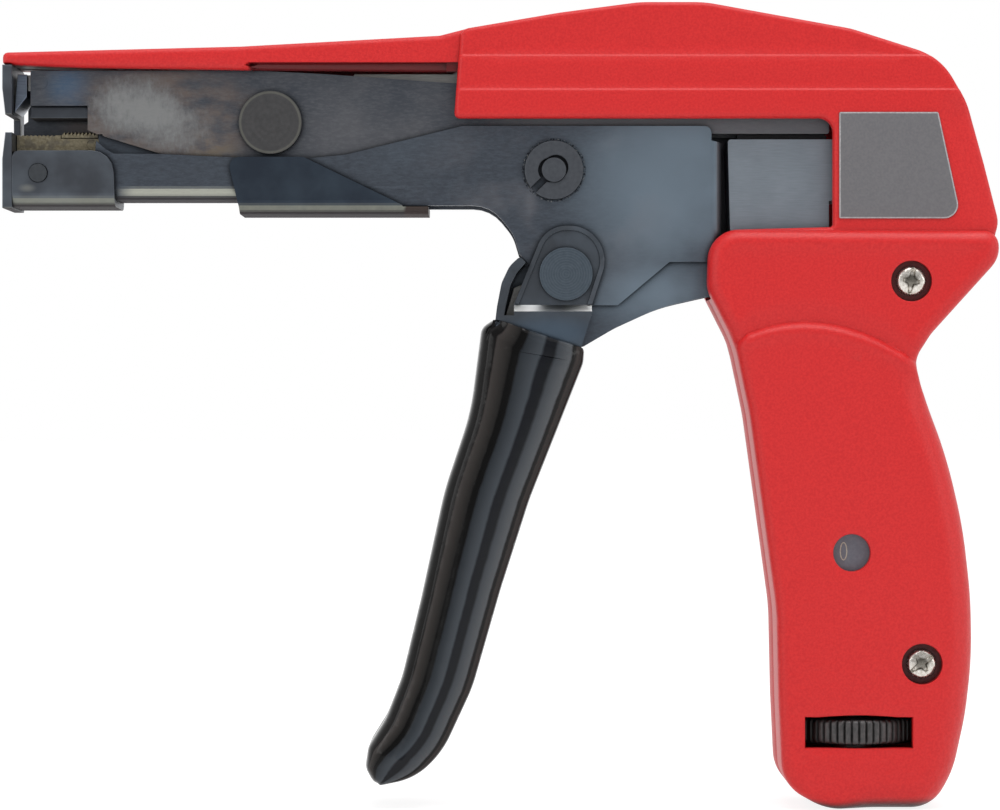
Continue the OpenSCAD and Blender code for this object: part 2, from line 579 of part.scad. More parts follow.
module trigger_spring() color("silver") translate([trigger_at[0], 0, trigger_at[1]]) rotate([90, 0, 0])
    curled(trigger_pin_r + cross_pin_r * 0.6, cross_pin_r * 0.55, 1, tongue_half + slide_gap, core_half);

// Trigger
module trigger_lever() color("slategray") difference() {
    step_top = at([0, 0.624])[1];
    step_low = at([0, 0.611])[1];
    union() {
        both_sides() intersection() {
            sheet(corners(ear_share), -ear_out, -ear_in);
            block(-tool_len, tool_len, -ear_out, -ear_in, step_top, tool_h);
        }
        // Both ears flare outward just under the frame
        translate([at([0.5135, 0])[0], 0, 0]) rotate([90, 0, 90])
            linear_extrude(height = at([0.5915, 0])[0] - at([0.5135, 0])[0]) for (m = [-1, 1]) polygon([
                [m * ear_in, step_top], [m * ear_out, step_top],
                [m * channel_out, step_low + trigger_t / 2], [m * channel_out, step_low],
                [m * ear_out, step_low], [m * ear_in, step_low + trigger_t / 2]]);
        both_sides() sheet(corners(neck_share), -channel_out, -ear_out);
        both_sides() sheet(moved_in(corners(sleeve_share), sleeve_t), -channel_out, -ear_out);
        sheet(corners(web_share), -channel_out, channel_out);
        sheet(corners(lining_share), tongue_half + slide_gap, core_half - slide_gap / 2);
        intersection() {
            sheet(moved_in(corners(sleeve_share), sleeve_t), -channel_out, channel_out);
            translate([trigger_t, 0, 0]) difference() {
                translate([-trigger_t, 0, 0])
                    block(-tool_len, tool_len, -channel_out, channel_out, 0, tool_h);
                sheet(moved_in(corners(sleeve_share), sleeve_t), -channel_out - over, channel_out + over);
            }
        }
    }
    cross_pin(trigger_at, trigger_pin_r + run_gap, -channel_out, channel_out);
}
module trigger_tongue() color("gray") difference() {
    union() {
        cross_pin(trigger_at, trigger_head_r, -tongue_half, tongue_half);
        side_cut(-tongue_half, tongue_half) polygon([
            trigger_at + [-trigger_head_r * 0.8, 0], tongue_at - [cross_pin_r * 1.7, 0],
            tongue_at + [0, cross_pin_r * 1.7], tongue_at + [cross_pin_r * 1.7, 0],
            trigger_at + [trigger_head_r * 0.8, 0]]);
        side_cut(-tongue_half, tongue_half) polygon([
            trigger_at + [0, -trigger_head_r * 0.9], at([0.5155, 0.60]), at([0.5045, 0.61]),
            at([0.5135, 0.647]), trigger_at + [-trigger_head_r * 0.9, 0]]);
    }
    cross_pin(trigger_at, trigger_pin_r + run_gap, -frame_half, frame_half);
    cross_pin(tongue_at, cross_pin_r + seat_gap, -frame_half, frame_half);
}
module tongue_pin() color("silver") cross_pin(tongue_at, cross_pin_r, -drive_out, drive_out);
module trigger_sleeve() color("black") difference() {
    union() {
        rolled_slab(corners(sleeve_share), sleeve_half, sleeve_edge, 3, 3);
        mirror([0, 1, 0]) rolled_slab(corners(sleeve_share), sleeve_half, sleeve_edge, 3, 3);
    }
    sheet(moved_in(corners(sleeve_share), sleeve_t), -channel_out, channel_out);
    mouth = [[0.497, 0.63, 0], [0.60, 0.63, 0], [0.5775, 0.553, 0], [0.4865, 0.573, 0]];
    sheet(corners(mouth), -channel_out, channel_out);
}

// Drive lever
module drive_lever() color("dimgray") difference() {
    tip = drive_at + (fork_len + cross_pin_r * 1.4) * [sin(fork_tilt), -cos(fork_tilt)];
    across = [cos(fork_tilt), sin(fork_tilt)];
    lean = [cos(arm_tilt), sin(arm_tilt)];
    both_sides() side_cut(-drive_out, -drive_in) union() {
        polygon([drive_at - across * drive_pin_r * 2, tip - across * cross_pin_r * 2.2,
            tip + across * cross_pin_r * 2.2, drive_at + across * drive_pin_r * 2]);
        polygon([drive_at - lean * drive_pin_r * 2, draw_at - lean * cross_pin_r * 1.8,
            draw_at + lean * cross_pin_r * 1.8, drive_at + lean * drive_pin_r * 2]);
        translate(draw_at) circle(r = cross_pin_r * 1.8, $fn = 64);
        translate(drive_at) circle(r = drive_pin_r * 2, $fn = 64);
    }
    cross_pin(drive_at, drive_pin_r + run_gap, -frame_half, frame_half);
    cross_pin(draw_at, cross_pin_r + seat_gap, -frame_half, frame_half);
    // Open fork that the tongue's pin runs in
    translate([drive_at[0], 0, drive_at[1]]) rotate([0, -fork_tilt, 0]) block(-cross_pin_r - fork_gap,
        cross_pin_r + fork_gap, -frame_half, frame_half, -link_len, -fork_len + cross_pin_r * 1.2);
}
module drive_bush() color("silver") difference() {
    cross_pin(drive_at, drive_pin_r * 1.8, -drive_in, drive_in);
    cross_pin(drive_at, drive_pin_r + run_gap, -frame_half, frame_half);
}
module draw_pin() color("silver") cross_pin(draw_at, cross_pin_r, -drive_out, drive_out);

// Draw bar with the gripper
module draw_bar() color("gray") difference() {
    rear = at([0.40, 0])[0];
    head_low = draw_at[1] - cross_pin_r * 2.4;
    head_top = draw_at[1] + cross_pin_r * 2.6;
    side_cut(-bar_half, bar_half) polygon([
        [strip_x, bar_low], [strip_x, strip_low], at([0.332, 0]) + [0, strip_low], at([0.352, 0.9145]),
        at([0.452, 0.9145]), [draw_at[0] - cross_pin_r * 3, head_top],
        [draw_at[0] + cross_pin_r * 3, head_top], [draw_at[0] + cross_pin_r * 3, head_low],
        [draw_at[0] - cross_pin_r * 1.6, head_low], [rear + bar_t, bar_low]]);
    lift = arm_len * (1 - cos(arm_tilt));
    block(draw_at[0] - cross_pin_r - fork_gap, draw_at[0] + cross_pin_r + fork_gap, -frame_half, frame_half,
        draw_at[1] - cross_pin_r - fork_gap, draw_at[1] + cross_pin_r + lift + fork_gap);
}
module toothed_strip() color("goldenrod") difference() {
    block(strip_x, pawl_x + pawl_len, -bar_half, bar_half, strip_low, strip_low + strip_t);
    block(pawl_x - slide_gap, pawl_x + pawl_len + over, -bar_half * 0.66, bar_half * 0.66,
        strip_floor, tool_h);
    block(pawl_x - slide_gap, pawl_x + pawl_len + over, -bar_half - over, bar_half + over,
        strip_top - pawl_sink, tool_h);
    cross_pin(pawl_at, pawl_pin_r + seat_gap, -frame_half, frame_half);
    // Grooves pressed across the front of the strip
    for (k = [1:9]) translate([strip_x + k * pawl_len / 9, 0, strip_low + strip_t]) rotate([0, 45, 0])
        cube([leaf_t, bar_half * 2 + over, leaf_t], center = true);
}
module pawl_pin() color("silver") cross_pin(pawl_at, pawl_pin_r, -bar_half, bar_half);
module pawl_spring() color("silver") block(pawl_x + leaf_t, pawl_at[0] - pawl_pin_r * 3, -bar_half / 2,
    bar_half / 2, strip_floor, strip_floor + leaf_t);
module gripper_pawl() color("goldenrod") difference() {
    low = strip_floor + leaf_t + slide_gap * 2;
    teeth = 10;
    tooth = 0.55;
    pitch = (pawl_len - slide_gap) / teeth;
    intersection() {
        side_cut(-bar_half, bar_half) polygon(concat([[pawl_x, low]],
            [for (k = [0:teeth - 1]) each [
                [pawl_x + pitch * k, strip_top], [pawl_x + pitch * (k + 0.9), strip_top + tooth]]],
            [[pawl_x + pawl_len - slide_gap, low + tooth]]));
        union() {
            block(pawl_x, pawl_x + pawl_len, -bar_half * 0.66 + slide_gap, bar_half * 0.66 - slide_gap, low,
                tool_h);
            block(pawl_x, pawl_x + pawl_len, -bar_half, bar_half,
                strip_top - pawl_sink + slide_gap * 1.5, tool_h);
        }
    }
    cross_pin(pawl_at, pawl_pin_r + run_gap, -frame_half, frame_half);
}

// Cutting lever
module cutting_lever() color("slategray") difference() {
    front_top = at([0, 0.9165])[1];
    notch = at([0.084, 0.873]);
    plate_x = blade_back + free_gap * 1.6;
    union() {
        both_sides() side_cut(-lever_out, -lever_in) union() {
            polygon(rounded(corners(lever_share)));
            polygon([[plate_x, notch[1]], [notch[0], notch[1]], [notch[0], at([0, 0.8425])[1]],
                at([0.0935, 0.8375]), at([0.30, 0.84]), at([0.25, 0.917]), [plate_x, front_top]]);
        }
        // The far plate has no notch and closes the tie's path
        foot_x = blade_back - blade_t * 0.8;
        lip_x = blade_back - blade_t * 0.45;
        side_cut(lever_in, lever_out) polygon([
            [plate_x + over, front_top], [blade_back, front_top], [blade_back, blade_top - blade_h * 0.6],
            [lip_x, blade_top - blade_h * 0.84], [lip_x, at([0, 0.858])[1]], [foot_x, at([0, 0.8545])[1]],
            [foot_x, at([0, 0.8375])[1]], at([0.0935, 0.8375]), [notch[0] + over, notch[1] + over],
            [plate_x + over, notch[1] + over]]);
    }
    cross_pin(cutter_at, cutter_pin_r + run_gap, -frame_half, frame_half);
    both_sides() cross_pin(blade_screw_at, screw_r * 0.8 + seat_gap, -frame_half, 0);
    both_sides() cross_pin(tail_at, cross_pin_r + seat_gap, -frame_half, 0);
}
module blade_block() color("dimgray") difference() {
    block(blade_back, blade_back + blade_block_t, -lever_in, lever_in,
        blade_top - blade_block_t * 0.6, blade_top);
    cross_pin(blade_screw_at, screw_r * 0.8 + seat_gap, -frame_half, frame_half);
}
module cutter_blade() color("lightsteelblue") side_cut(-lever_out, lever_out) polygon([
    [blade_back, blade_top], [blade_back - blade_t + free_gap * 1.2, blade_top],
    [blade_back - blade_t, blade_top - blade_h], [blade_back, blade_top - blade_h * 0.6]]);
module blade_screws() color("silver") both_sides()
    cross_pin(blade_screw_at, screw_r * 0.8, -lever_out, -slide_gap);
module tail_spacer() color("silver") {
    cross_pin(tail_at, cross_pin_r * 1.5, -lever_in, lever_in);
    cross_pin(tail_at, cross_pin_r, -lever_out, lever_out);
}

// Tension setting
module tension_lever() color("slategray") difference() {
    union() {
        difference() {
            sheet(corners(tension_share), -lever_out, lever_out);
            // Room for the rod's head and its shank
            block(wheel_at[0] - rod_head_r - slide_gap * 2, tool_len / 2, -frame_half, frame_half, 0,
                at([0, 0.7545])[1]);
        }
        // Stem and open fork under the rod's head, with room for the lever's own swing
        tine_low = rod_head_low - tine_room - lever_t;
        stem_x = wheel_at[0] - rod_head_r - free_gap - lever_t;
        block(stem_x, stem_x + lever_t, -lever_out, lever_out, tine_low, tension_at[1]);
        block(stem_x, stem_x + lever_t, rod_y - rod_head_r, 0, tine_low, tine_low + lever_t);
        for (m = [-1, 1]) translate([0, rod_y + m * (rod_head_r - tine_w / 2), 0])
            block(stem_x, wheel_at[0] + rod_head_r, -tine_w / 2, tine_w / 2, tine_low, tine_low + lever_t);
    }
    cross_pin(tension_at, cross_pin_r + run_gap, -frame_half, frame_half);
}
module tension_lever_pin() color("silver")
    cross_pin(tension_at, cross_pin_r, -band_in - shell_wall / 2, band_in + shell_wall / 2);
module tension_wheel() color("black") translate([wheel_at[0], rod_y, wheel_low]) difference() {
    cylinder(r = wheel_r, h = wheel_t, $fn = 96);
    translate([0, 0, -over]) cylinder(r = rod_r + seat_gap, h = wheel_t + over * 2, $fn = 48);
    for (k = [1:scallops]) rotate([0, 0, 360 / scallops * k]) translate([wheel_r + scallop_r * 0.4, 0, -over])
        cylinder(r = scallop_r, h = wheel_t + over * 2, $fn = 16);
}
module tension_rod() color("silver") translate([wheel_at[0], rod_y, 0]) {
    translate([0, 0, bearing_floor + shell_wall])
        cylinder(r = rod_r, h = rod_head_low - bearing_floor - shell_wall, $fn = 48);
    translate([0, 0, rod_head_low]) cylinder(r = rod_head_r, h = rod_head_h, $fn = 48);
}
module rod_bearing() color("gray") translate([wheel_at[0], rod_y, bearing_floor]) difference() {
    cylinder(r = bearing_r, h = wheel_low - bearing_floor - slide_gap, $fn = 48);
    translate([0, 0, shell_wall - slide_gap]) cylinder(r = rod_r + run_gap, h = wheel_low, $fn = 48);
}
module tension_nut() color("silver") difference() {
    block(wheel_at[0] - nut_half, wheel_at[0] + nut_half, -grip_in + scale_t + slide_gap * 3,
        rod_y + nut_half, nut_low, nut_top);
    translate([wheel_at[0], rod_y, 0]) cylinder(r = rod_r + run_gap, h = tool_h, $fn = 48);
}
module scale_plate() color("lightsteelblue") block(window_at[0] - scale_w / 2, window_at[0] + scale_w / 2,
    -grip_in + slide_gap * 3, -grip_in + scale_t + slide_gap * 3, window_at[1] - scale_h * 0.62,
    window_at[1] + scale_h * 0.38);
module spring_seat() color("gray") difference() {
    block(wheel_at[0] - spring_r * 1.7, wheel_at[0] + spring_r * 1.7, -grip_in, grip_in, seat_low,
        seat_low + seat_t);
    translate([wheel_at[0], rod_y, 0]) cylinder(r = rod_r + slide_gap * 2, h = tool_h, $fn = 48);
}
module tension_spring() color("silver") translate([wheel_at[0], rod_y, 0])
    curled(spring_r, spring_wire, spring_curls, nut_top, seat_low);

left_housing();
right_housing();
housing_screws();
label_plate();
barrel_frame();
handle_frame();
barrel_core();
tie_guide();
nose_plate();
front_clip();
clip_rivets();
barrel_saddle();
cutter_pivot_pin();
cutter_spring();
drive_pin();
drive_pin_rings();
trigger_pin();
trigger_pin_ring();
trigger_spring();
spring_seat();
rod_bearing();
tension_lever_pin();
trigger_lever();
trigger_tongue();
tongue_pin();
trigger_sleeve();
drive_lever();
drive_bush();
draw_pin();
draw_bar();
toothed_strip();
pawl_pin();
pawl_spring();
gripper_pawl();
cutting_lever();
blade_block();
cutter_blade();
blade_screws();
tail_spacer();
tension_lever();
tension_wheel();
tension_rod();
tension_nut();
scale_plate();
tension_spring();
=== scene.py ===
# Cable tie tensioning tool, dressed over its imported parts. Outlines and places are in millimetres:
# x along the tool from nose to grip, y across it with the screws at minus y, z up from the grip's foot.
import math
import bpy
import numpy as np
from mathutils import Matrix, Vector
from mathutils.geometry import delaunay_2d_cdt


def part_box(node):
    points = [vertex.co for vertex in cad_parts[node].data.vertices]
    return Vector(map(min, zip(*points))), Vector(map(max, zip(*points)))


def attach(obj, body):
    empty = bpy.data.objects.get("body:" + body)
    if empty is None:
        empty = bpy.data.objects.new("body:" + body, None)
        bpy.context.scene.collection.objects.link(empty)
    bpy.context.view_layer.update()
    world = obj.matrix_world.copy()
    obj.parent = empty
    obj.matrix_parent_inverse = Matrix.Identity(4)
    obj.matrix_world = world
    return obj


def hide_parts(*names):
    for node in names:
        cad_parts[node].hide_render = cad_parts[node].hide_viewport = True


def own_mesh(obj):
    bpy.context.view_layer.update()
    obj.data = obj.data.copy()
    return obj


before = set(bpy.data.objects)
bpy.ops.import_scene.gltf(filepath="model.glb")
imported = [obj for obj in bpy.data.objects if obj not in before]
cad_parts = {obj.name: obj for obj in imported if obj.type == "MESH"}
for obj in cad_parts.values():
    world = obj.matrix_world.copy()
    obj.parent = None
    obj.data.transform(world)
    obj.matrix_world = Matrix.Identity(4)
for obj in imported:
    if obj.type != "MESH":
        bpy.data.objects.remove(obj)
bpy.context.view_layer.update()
scene = bpy.context.scene

# Camera: square on to the side with the screws, level with the middle of the tool, with a long lens
# at arm's length, as for a catalogue picture.
eye = bpy.data.objects.new("camera", bpy.data.cameras.new("camera"))
eye.location = (-0.00008, -0.6, 0.0663)
eye.rotation_euler = (math.radians(90), 0, 0)
eye.data.lens = 129.6
eye.data.sensor_width = 36
scene.collection.objects.link(eye)
scene.camera = eye
scene.view_settings.view_transform = "Standard"


class Wire:
    """A value on its way through a node tree. It takes ordinary arithmetic, and node() adds any other."""

    def __init__(self, tree, socket):
        self.tree = tree
        self.socket = socket

    def node(self, kind, inputs, output=0, stops=(), **settings):
        made = self.tree.nodes.new("ShaderNode" + kind)
        for name, value in settings.items():
            setattr(made, name, value)
        for k, (place, colour) in enumerate(stops):
            ramp = made.color_ramp.elements
            element = ramp[k] if k < len(ramp) else ramp.new(place)
            element.position = place
            element.color = (*colour, 1)
        for key, value in inputs.items():
            if isinstance(value, Wire):
                self.tree.links.new(value.socket, made.inputs[key])
            else:
                made.inputs[key].default_value = value
        return Wire(self.tree, made.outputs[output]) if made.outputs else None

    def math(self, operation, *values):
        return self.node("Math", dict(enumerate(values)), operation=operation)

    def vector(self, operation, other=(0, 0, 0), output=0):
        return self.node("VectorMath", {0: self, 1: other}, output=output, operation=operation)

    def axis(self, number):
        """The part of a vector along x, y or z, by its number."""
        return self.node("SeparateXYZ", {0: self}, output=number)

    def __add__(self, other):
        return self.math("ADD", self, other)

    def __sub__(self, other):
        return self.math("SUBTRACT", self, other)

    def __rsub__(self, other):
        return self.math("SUBTRACT", other, self)

    def __mul__(self, other):
        return self.math("MULTIPLY", self, other)

    __radd__ = __add__
    __rmul__ = __mul__

    def between(self, low, high):
        """0 below low, 1 above high and smooth between them."""
        return self.node("MapRange", {0: self, 1: low, 2: high}, interpolation_type="SMOOTHSTEP")

    def colour(self, low, high):
        """From one colour to another as the value goes from 0 to 1."""
        low, high = ((*c, 1) if isinstance(c, tuple) else c for c in (low, high))
        return self.node("Mix", {0: self, 6: low, 7: high}, output=2, data_type="RGBA")


# Studio: a white tent, open and darker towards the camera, with a large soft light above and a
# smaller one low on each side. The backdrop and the floor show plain white, with the tool's shadow.


def rays(tree, *kinds):
    """For each kind of light ray, 1 on a ray of that kind and 0 on any other."""
    path = tree.nodes.new("ShaderNodeLightPath")
    return [Wire(tree, path.outputs["Is %s Ray" % kind]) for kind in kinds]


def placed(name, vertices, faces, sharp=0):
    """A mesh in the scene, smooth but for its edges above an angle in degrees, or flat if none is given."""
    mesh = bpy.data.meshes.new(name)
    mesh.from_pydata(vertices, [], faces)
    if sharp:
        mesh.polygons.foreach_set("use_smooth", [True] * len(faces))
        mesh.set_sharp_from_angle(angle=math.radians(sharp))
    made = bpy.data.objects.new(name, mesh)
    scene.collection.objects.link(made)
    return made


world = bpy.data.worlds.new("tent")
scene.world = world
world.use_nodes = True
world.node_tree.nodes.clear()
camera_ray, gloss_ray, glass_ray = rays(world.node_tree, "Camera", "Glossy", "Transmission")
way = Wire(world.node_tree, world.node_tree.nodes.new("ShaderNodeTexCoord").outputs["Generated"])
back = way.axis(1).between(-0.95, -0.1)
plain = camera_ray.math("MAXIMUM", camera_ray, glass_ray)
strength = plain + (1 - plain) * (gloss_ray * (back * 0.6 + 0.4) + (1 - gloss_ray) * 0.55)
tent = plain.node("Background", {"Color": (1, 1, 1, 1), "Strength": strength})
tent.node("OutputWorld", {"Surface": tent})

for name, place, size, power in (
        ("overhead_softbox", (0.15, -0.34, 1.15), 0.9, 9.0),
        ("left_softbox", (-0.9, -0.7, 0.4), 0.5, 2.0),
        ("right_softbox", (1.0, -0.5, 0.25), 0.4, 1.2)):
    light = bpy.data.objects.new(name, bpy.data.lights.new(name, "AREA"))
    light.data.shape = "SQUARE"
    light.data.size = size
    light.data.energy = power
    light.location = place
    light.rotation_euler = (Vector((0, 0, 0.07)) - Vector(place)).to_track_quat("-Z", "Y").to_euler()
    scene.collection.objects.link(light)

FLOOR_HALF = 6
FLOOR_LEVEL = -0.0002
floor = placed("floor", [(s * FLOOR_HALF, t * FLOOR_HALF, FLOOR_LEVEL) for s, t in (
    (-1, -1), (1, -1), (1, 1), (-1, 1))], [(0, 1, 2, 3)])
floor_paper = bpy.data.materials.new("floor_paper")
floor_paper.use_nodes = True
floor_paper.node_tree.nodes.clear()
camera_ray, gloss_ray = rays(floor_paper.node_tree, "Camera", "Glossy")
paper = camera_ray.node("BsdfDiffuse", {"Color": (0.9, 0.9, 0.9, 1)})
glow = camera_ray.node("Emission", {"Color": (1, 1, 1, 1), "Strength": 1.3})
shown = camera_ray.math("MAXIMUM", camera_ray, gloss_ray)
paper = shown.node("MixShader", {0: shown * 0.66, 1: paper, 2: glow})
paper.node("OutputMaterial", {"Surface": paper})
floor.data.materials.append(floor_paper)

# Barrel and handle frames, nose plate, clip and saddle: steel sheet, punched, folded and blued. The sheet
# keeps the grain of its rolling, and its blue runs at random from slate to grey. On the frames, the lighter
# patches are painted reflections, the pale band along the barrel's lower bend is a painted highlight, and the
# undersides, the rear and the crevices carry painted shade.


def started(name):
    """A new material, and the place on the tool in millimetres as the first value of its nodes."""
    material = bpy.data.materials.new(name)
    material.use_nodes = True
    tree = material.node_tree
    tree.nodes.clear()
    place = Wire(tree, tree.nodes.new("ShaderNodeTexCoord").outputs["Object"])
    return material, place.node("VectorMath", {0: place, "Scale": 1000.0}, operation="SCALE")


def noise(place, scale, detail=2.0, roughness=0.5, stretch=(1, 1, 1)):
    """Even mottling, finer the larger its scale, drawn out along x, y or z by a small stretch."""
    place = place.vector("MULTIPLY", stretch)
    return place.node("TexNoise", {
        "Vector": place, "Scale": scale, "Detail": detail, "Roughness": roughness})


def spot(place, centre, radii, soft=0.2):
    """1 around a place on the tool's side, fading to 0 at an ellipse of these radii."""
    away = place.vector("SUBTRACT", (centre[0], 0, centre[1]))
    away = away.vector("MULTIPLY", (1 / radii[0], 0, 1 / radii[1]))
    return 1 - away.vector("LENGTH", output=1).between(soft, 1)


def from_axis(place, centre):
    """Distance from an axis across the tool."""
    away = place.vector("SUBTRACT", (centre[0], 0, centre[1])).vector("MULTIPLY", (1, 0, 1))
    return away.vector("LENGTH", output=1)


def crevice_shaded(colour, place, reach, low, high, dark):
    """The colour with painted shade in the crevices, where another piece stands over the surface within
    reach.
    """
    opened = place.node("AmbientOcclusion", {"Distance": reach / 1000}, output=1, samples=6)
    return (1 - opened.between(low, high)).colour(colour, dark)


def turned_down(place, middle, reach):
    """1 where a surface's direction upward is near this middle value, as along a folded bend."""
    facing = Wire(place.tree, place.tree.nodes.new("ShaderNodeTexCoord").outputs["Normal"])
    away = facing.axis(2) - middle
    return 1 - away.math("ABSOLUTE", away).between(reach * 0.25, reach)


def surfaced(place, **sockets):
    """Closes a material with the one shader that all of them use."""
    shader = place.node("BsdfPrincipled", {k.replace("_", " "): v for k, v in sockets.items()})
    shader.node("OutputMaterial", {"Surface": shader})


def bumped(height, distance, strength=1.0):
    return height.node("Bump", {"Height": height, "Distance": distance / 1000, "Strength": strength})


def dressed(material, *nodes, edge=0.15):
    """Gives CAD pieces a material and a fine chamfer on their sharp edges."""
    for name in nodes:
        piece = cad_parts[name]
        piece.data.materials.clear()
        piece.data.materials.append(material)
        if edge:
            weld = piece.modifiers.new("weld", "WELD")
            weld.merge_threshold = 1e-6
            chamfer = piece.modifiers.new("chamfer", "BEVEL")
            chamfer.width = edge / 1000
            chamfer.segments = 2
            chamfer.limit_method = "ANGLE"
            chamfer.angle_limit = math.radians(35)
            chamfer.use_clamp_overlap = True
            piece.modifiers.new("normals", "WEIGHTED_NORMAL").keep_sharp = True


ROLLED = (0.7, 1, 2.4)
SLATE = (0.058, 0.066, 0.082)
BLUE_GREY = (0.175, 0.225, 0.275)
WARM_GREY = (0.175, 0.168, 0.182)
EDGE_GREY = (0.30, 0.30, 0.28)
# Colour of the painted shade in the steel's crevices.
CREVICE_SHADE = (0.006, 0.007, 0.009)
DRIVE_PIN = (8.81, 105.01)

frame_steel, place = started("blued_frame_steel")
grain = noise(place, 1.3, 5.0, 0.75, ROLLED)
patch = noise(place, 0.07, 3.0, 0.55)
# Painted reflection: lighter spots on the frame's sides where they face the light, mixed with random mottling
# of the blue.
reflection_spots = spot(place, (26, 103), (26, 24), 0.0) * 0.9 + spot(place, (33, 112), (14, 8), 0.0) * 0.3
reflection_spots = reflection_spots + spot(place, (25, 84), (15, 7), 0.1) * 0.6
reflection_and_mottle = (reflection_spots + patch.between(0.35, 0.75) * 0.28).between(0.05, 1.1)
blue = reflection_and_mottle.colour(SLATE, BLUE_GREY)
warm = patch.between(0.42, 0.62) * spot(place, (7, 100), (26, 20), 0.1)
blue = (warm * 0.7).colour(blue, WARM_GREY)
blue = (grain.between(0.3, 0.75) * 0.2).colour(blue, BLUE_GREY)
ring = from_axis(place, DRIVE_PIN)
staked = ring.between(4.55, 4.7) * (1 - ring.between(5.15, 5.35))
specks = noise(place, 2.6, 2.0, 0.7)
blue = (staked * (1 - specks.between(0.40, 0.47)) * 0.9).colour(blue, (0.008, 0.009, 0.012))
blue = (staked * specks.between(0.60, 0.66) * 0.8).colour(blue, EDGE_GREY)
# Painted highlight: a pale band along the barrel's lower bend, where the surface turns down at about 30
# degrees.
bend_highlight = turned_down(place, -0.45, 0.45) * spot(place, (-51, 101), (13, 6), 0.7) * (0.75 + grain * 0.4)
blue = (bend_highlight * 0.85).colour(blue, (0.42, 0.425, 0.36))
# Painted shade: surfaces turned straight down, forward of x = -23 mm, go dark, duller and less metallic.
under = turned_down(place, -1.0, 0.4) * (1 - place.axis(0).between(-23.5, -22.5))
blue = (under * 0.9).colour(blue, (0.020, 0.016, 0.018))
# Painted shade: the frame steel goes dark behind x = 35 mm, where it turns in under the housing's notch.
rear_shade = place.axis(0).between(35.2, 35.9)
blue = (rear_shade * 0.75).colour(blue, (0.045, 0.036, 0.034))
# Painted shade in the crevices.
blue = crevice_shaded(blue, place, 1.2, 0.35, 0.92, (0.004, 0.0045, 0.006))
surfaced(place, Base_Color=blue, Metallic=0.82 - under * 0.8, Roughness=grain * 0.16 + 0.34 + under * 0.5,
         Normal=bumped(grain + specks * staked * 4, 0.007))
dressed(frame_steel, "barrel_frame", "handle_frame", "drive_lever", "barrel_core")

# Cutting lever: a pair of long plates from the blade to the rear of the housing. The near one is
# polished bare by handling behind the blade, brown at the edge of that patch and blue in front of it.
lever_steel, place = started("handled_lever_steel")
grain = noise(place, 1.3, 5.0, 0.75, ROLLED)
swirl = noise(place, 0.22, 4.0, 0.6, (0.7, 1, 1.2))
cloud = noise(place, 0.11, 3.0, 0.5)
polished = spot(place, (-61, 115.5), (11, 8), 0.0) + spot(place, (-53, 112), (10, 8), 0.1) * 0.55
scratch = noise(place, 1.1, 5.0, 0.8, (1, 1, 0.5))
polished = (polished + (swirl - 0.5) * 0.9 + (scratch - 0.5) * 1.0).between(0.15, 1.0)
rim = spot(place, (-56, 113.5), (20, 10.5), 0.55) * (1 - polished) * swirl.between(0.3, 0.6)
cloud = cloud.between(0.3, 0.7) * 0.5 + spot(place, (-20, 110), (18, 10)) * 0.4
body = cloud.colour(SLATE, (0.115, 0.118, 0.13))
body = (spot(place, (-71.5, 119), (5, 5), 0.1) * 0.85).colour(body, (0.075, 0.125, 0.20))
body = (rim * 0.75).colour(body, (0.175, 0.135, 0.115))
body = polished.colour(body, (0.27, 0.275, 0.275))
# Painted reflection: the lever's plates are lighter towards the rear, where they face the light.
rear = place.axis(0).between(-6, 8)
body = (rear * 0.9).colour(body, (0.135, 0.138, 0.15))
body = (spot(place, (-47.5, 107), (6, 5)) * swirl.between(0.45, 0.6) * 0.6).colour(body, (0.20, 0.165, 0.12))
body = (grain.between(0.4, 0.7) * 0.22).colour(body, (0.2, 0.21, 0.22))
# Painted shade in the crevices.
body = crevice_shaded(body, place, 1.2, 0.3, 0.9, CREVICE_SHADE)
surfaced(place, Base_Color=body, Metallic=0.82, Roughness=grain * 0.2 + 0.34 - polished * 0.04,
         Normal=bumped(grain, 0.009))
dressed(lever_steel, "cutting_lever")
dressed(lever_steel, "tail_spacer", "blade_screws", edge=0)

# Front clip, saddle, nose plate and tie guide: short folded pieces of the same blued sheet, with a painted
# highlight along their lower bends, painted shade on their undersides and painted light where they face up.
FOLDED = (0.3, 1, 7)
clip_steel, place = started("blued_clip_steel")
grain = noise(place, 1.0, 4.0, 0.65, FOLDED)
cloud = noise(place, 0.16, 3.0, 0.5)
front = place.axis(0).between(-50, -60)
cloud = cloud.between(0.3, 0.75)
coat = cloud.colour((0.026, 0.035, 0.050), (0.040, 0.055, 0.075))
coat = front.colour(coat, cloud.colour((0.060, 0.066, 0.078), (0.10, 0.115, 0.135)))
# Painted highlight: pale along the lower bends, unevenly by a noise.
highlight_mottle = noise(place, 0.9, 3.0, 0.6)
coat = (turned_down(place, -0.6, 0.4) * (highlight_mottle * 0.3 + 0.5)).colour(coat, (0.25, 0.255, 0.21))
# Painted shade: surfaces turned straight down go dark, duller and less metallic.
under = turned_down(place, -1.0, 0.35)
coat = (under * 0.9).colour(coat, (0.022, 0.017, 0.018))
coat = (spot(place, (-13, 98), (3.2, 2.6), 0.8) * 0.9).colour(coat, (0.035, 0.022, 0.020))
# Painted light: surfaces facing up are lighter.
coat = (turned_down(place, 0.8, 0.5) * 0.5).colour(coat, (0.15, 0.165, 0.18))
coat = (spot(place, (-77.9, 102), (1.8, 0.9), 0.1) * 0.4).colour(coat, (0.3, 0.3, 0.27))
# Painted shade in the crevices.
coat = crevice_shaded(coat, place, 0.9, 0.3, 0.85, CREVICE_SHADE)
surfaced(place, Base_Color=coat, Metallic=0.82 - under * 0.8, Roughness=grain * 0.16 + 0.33 + under * 0.5,
         Normal=bumped(grain, 0.008))
dressed(clip_steel, "front_clip", "barrel_saddle", "nose_plate", "tie_guide")
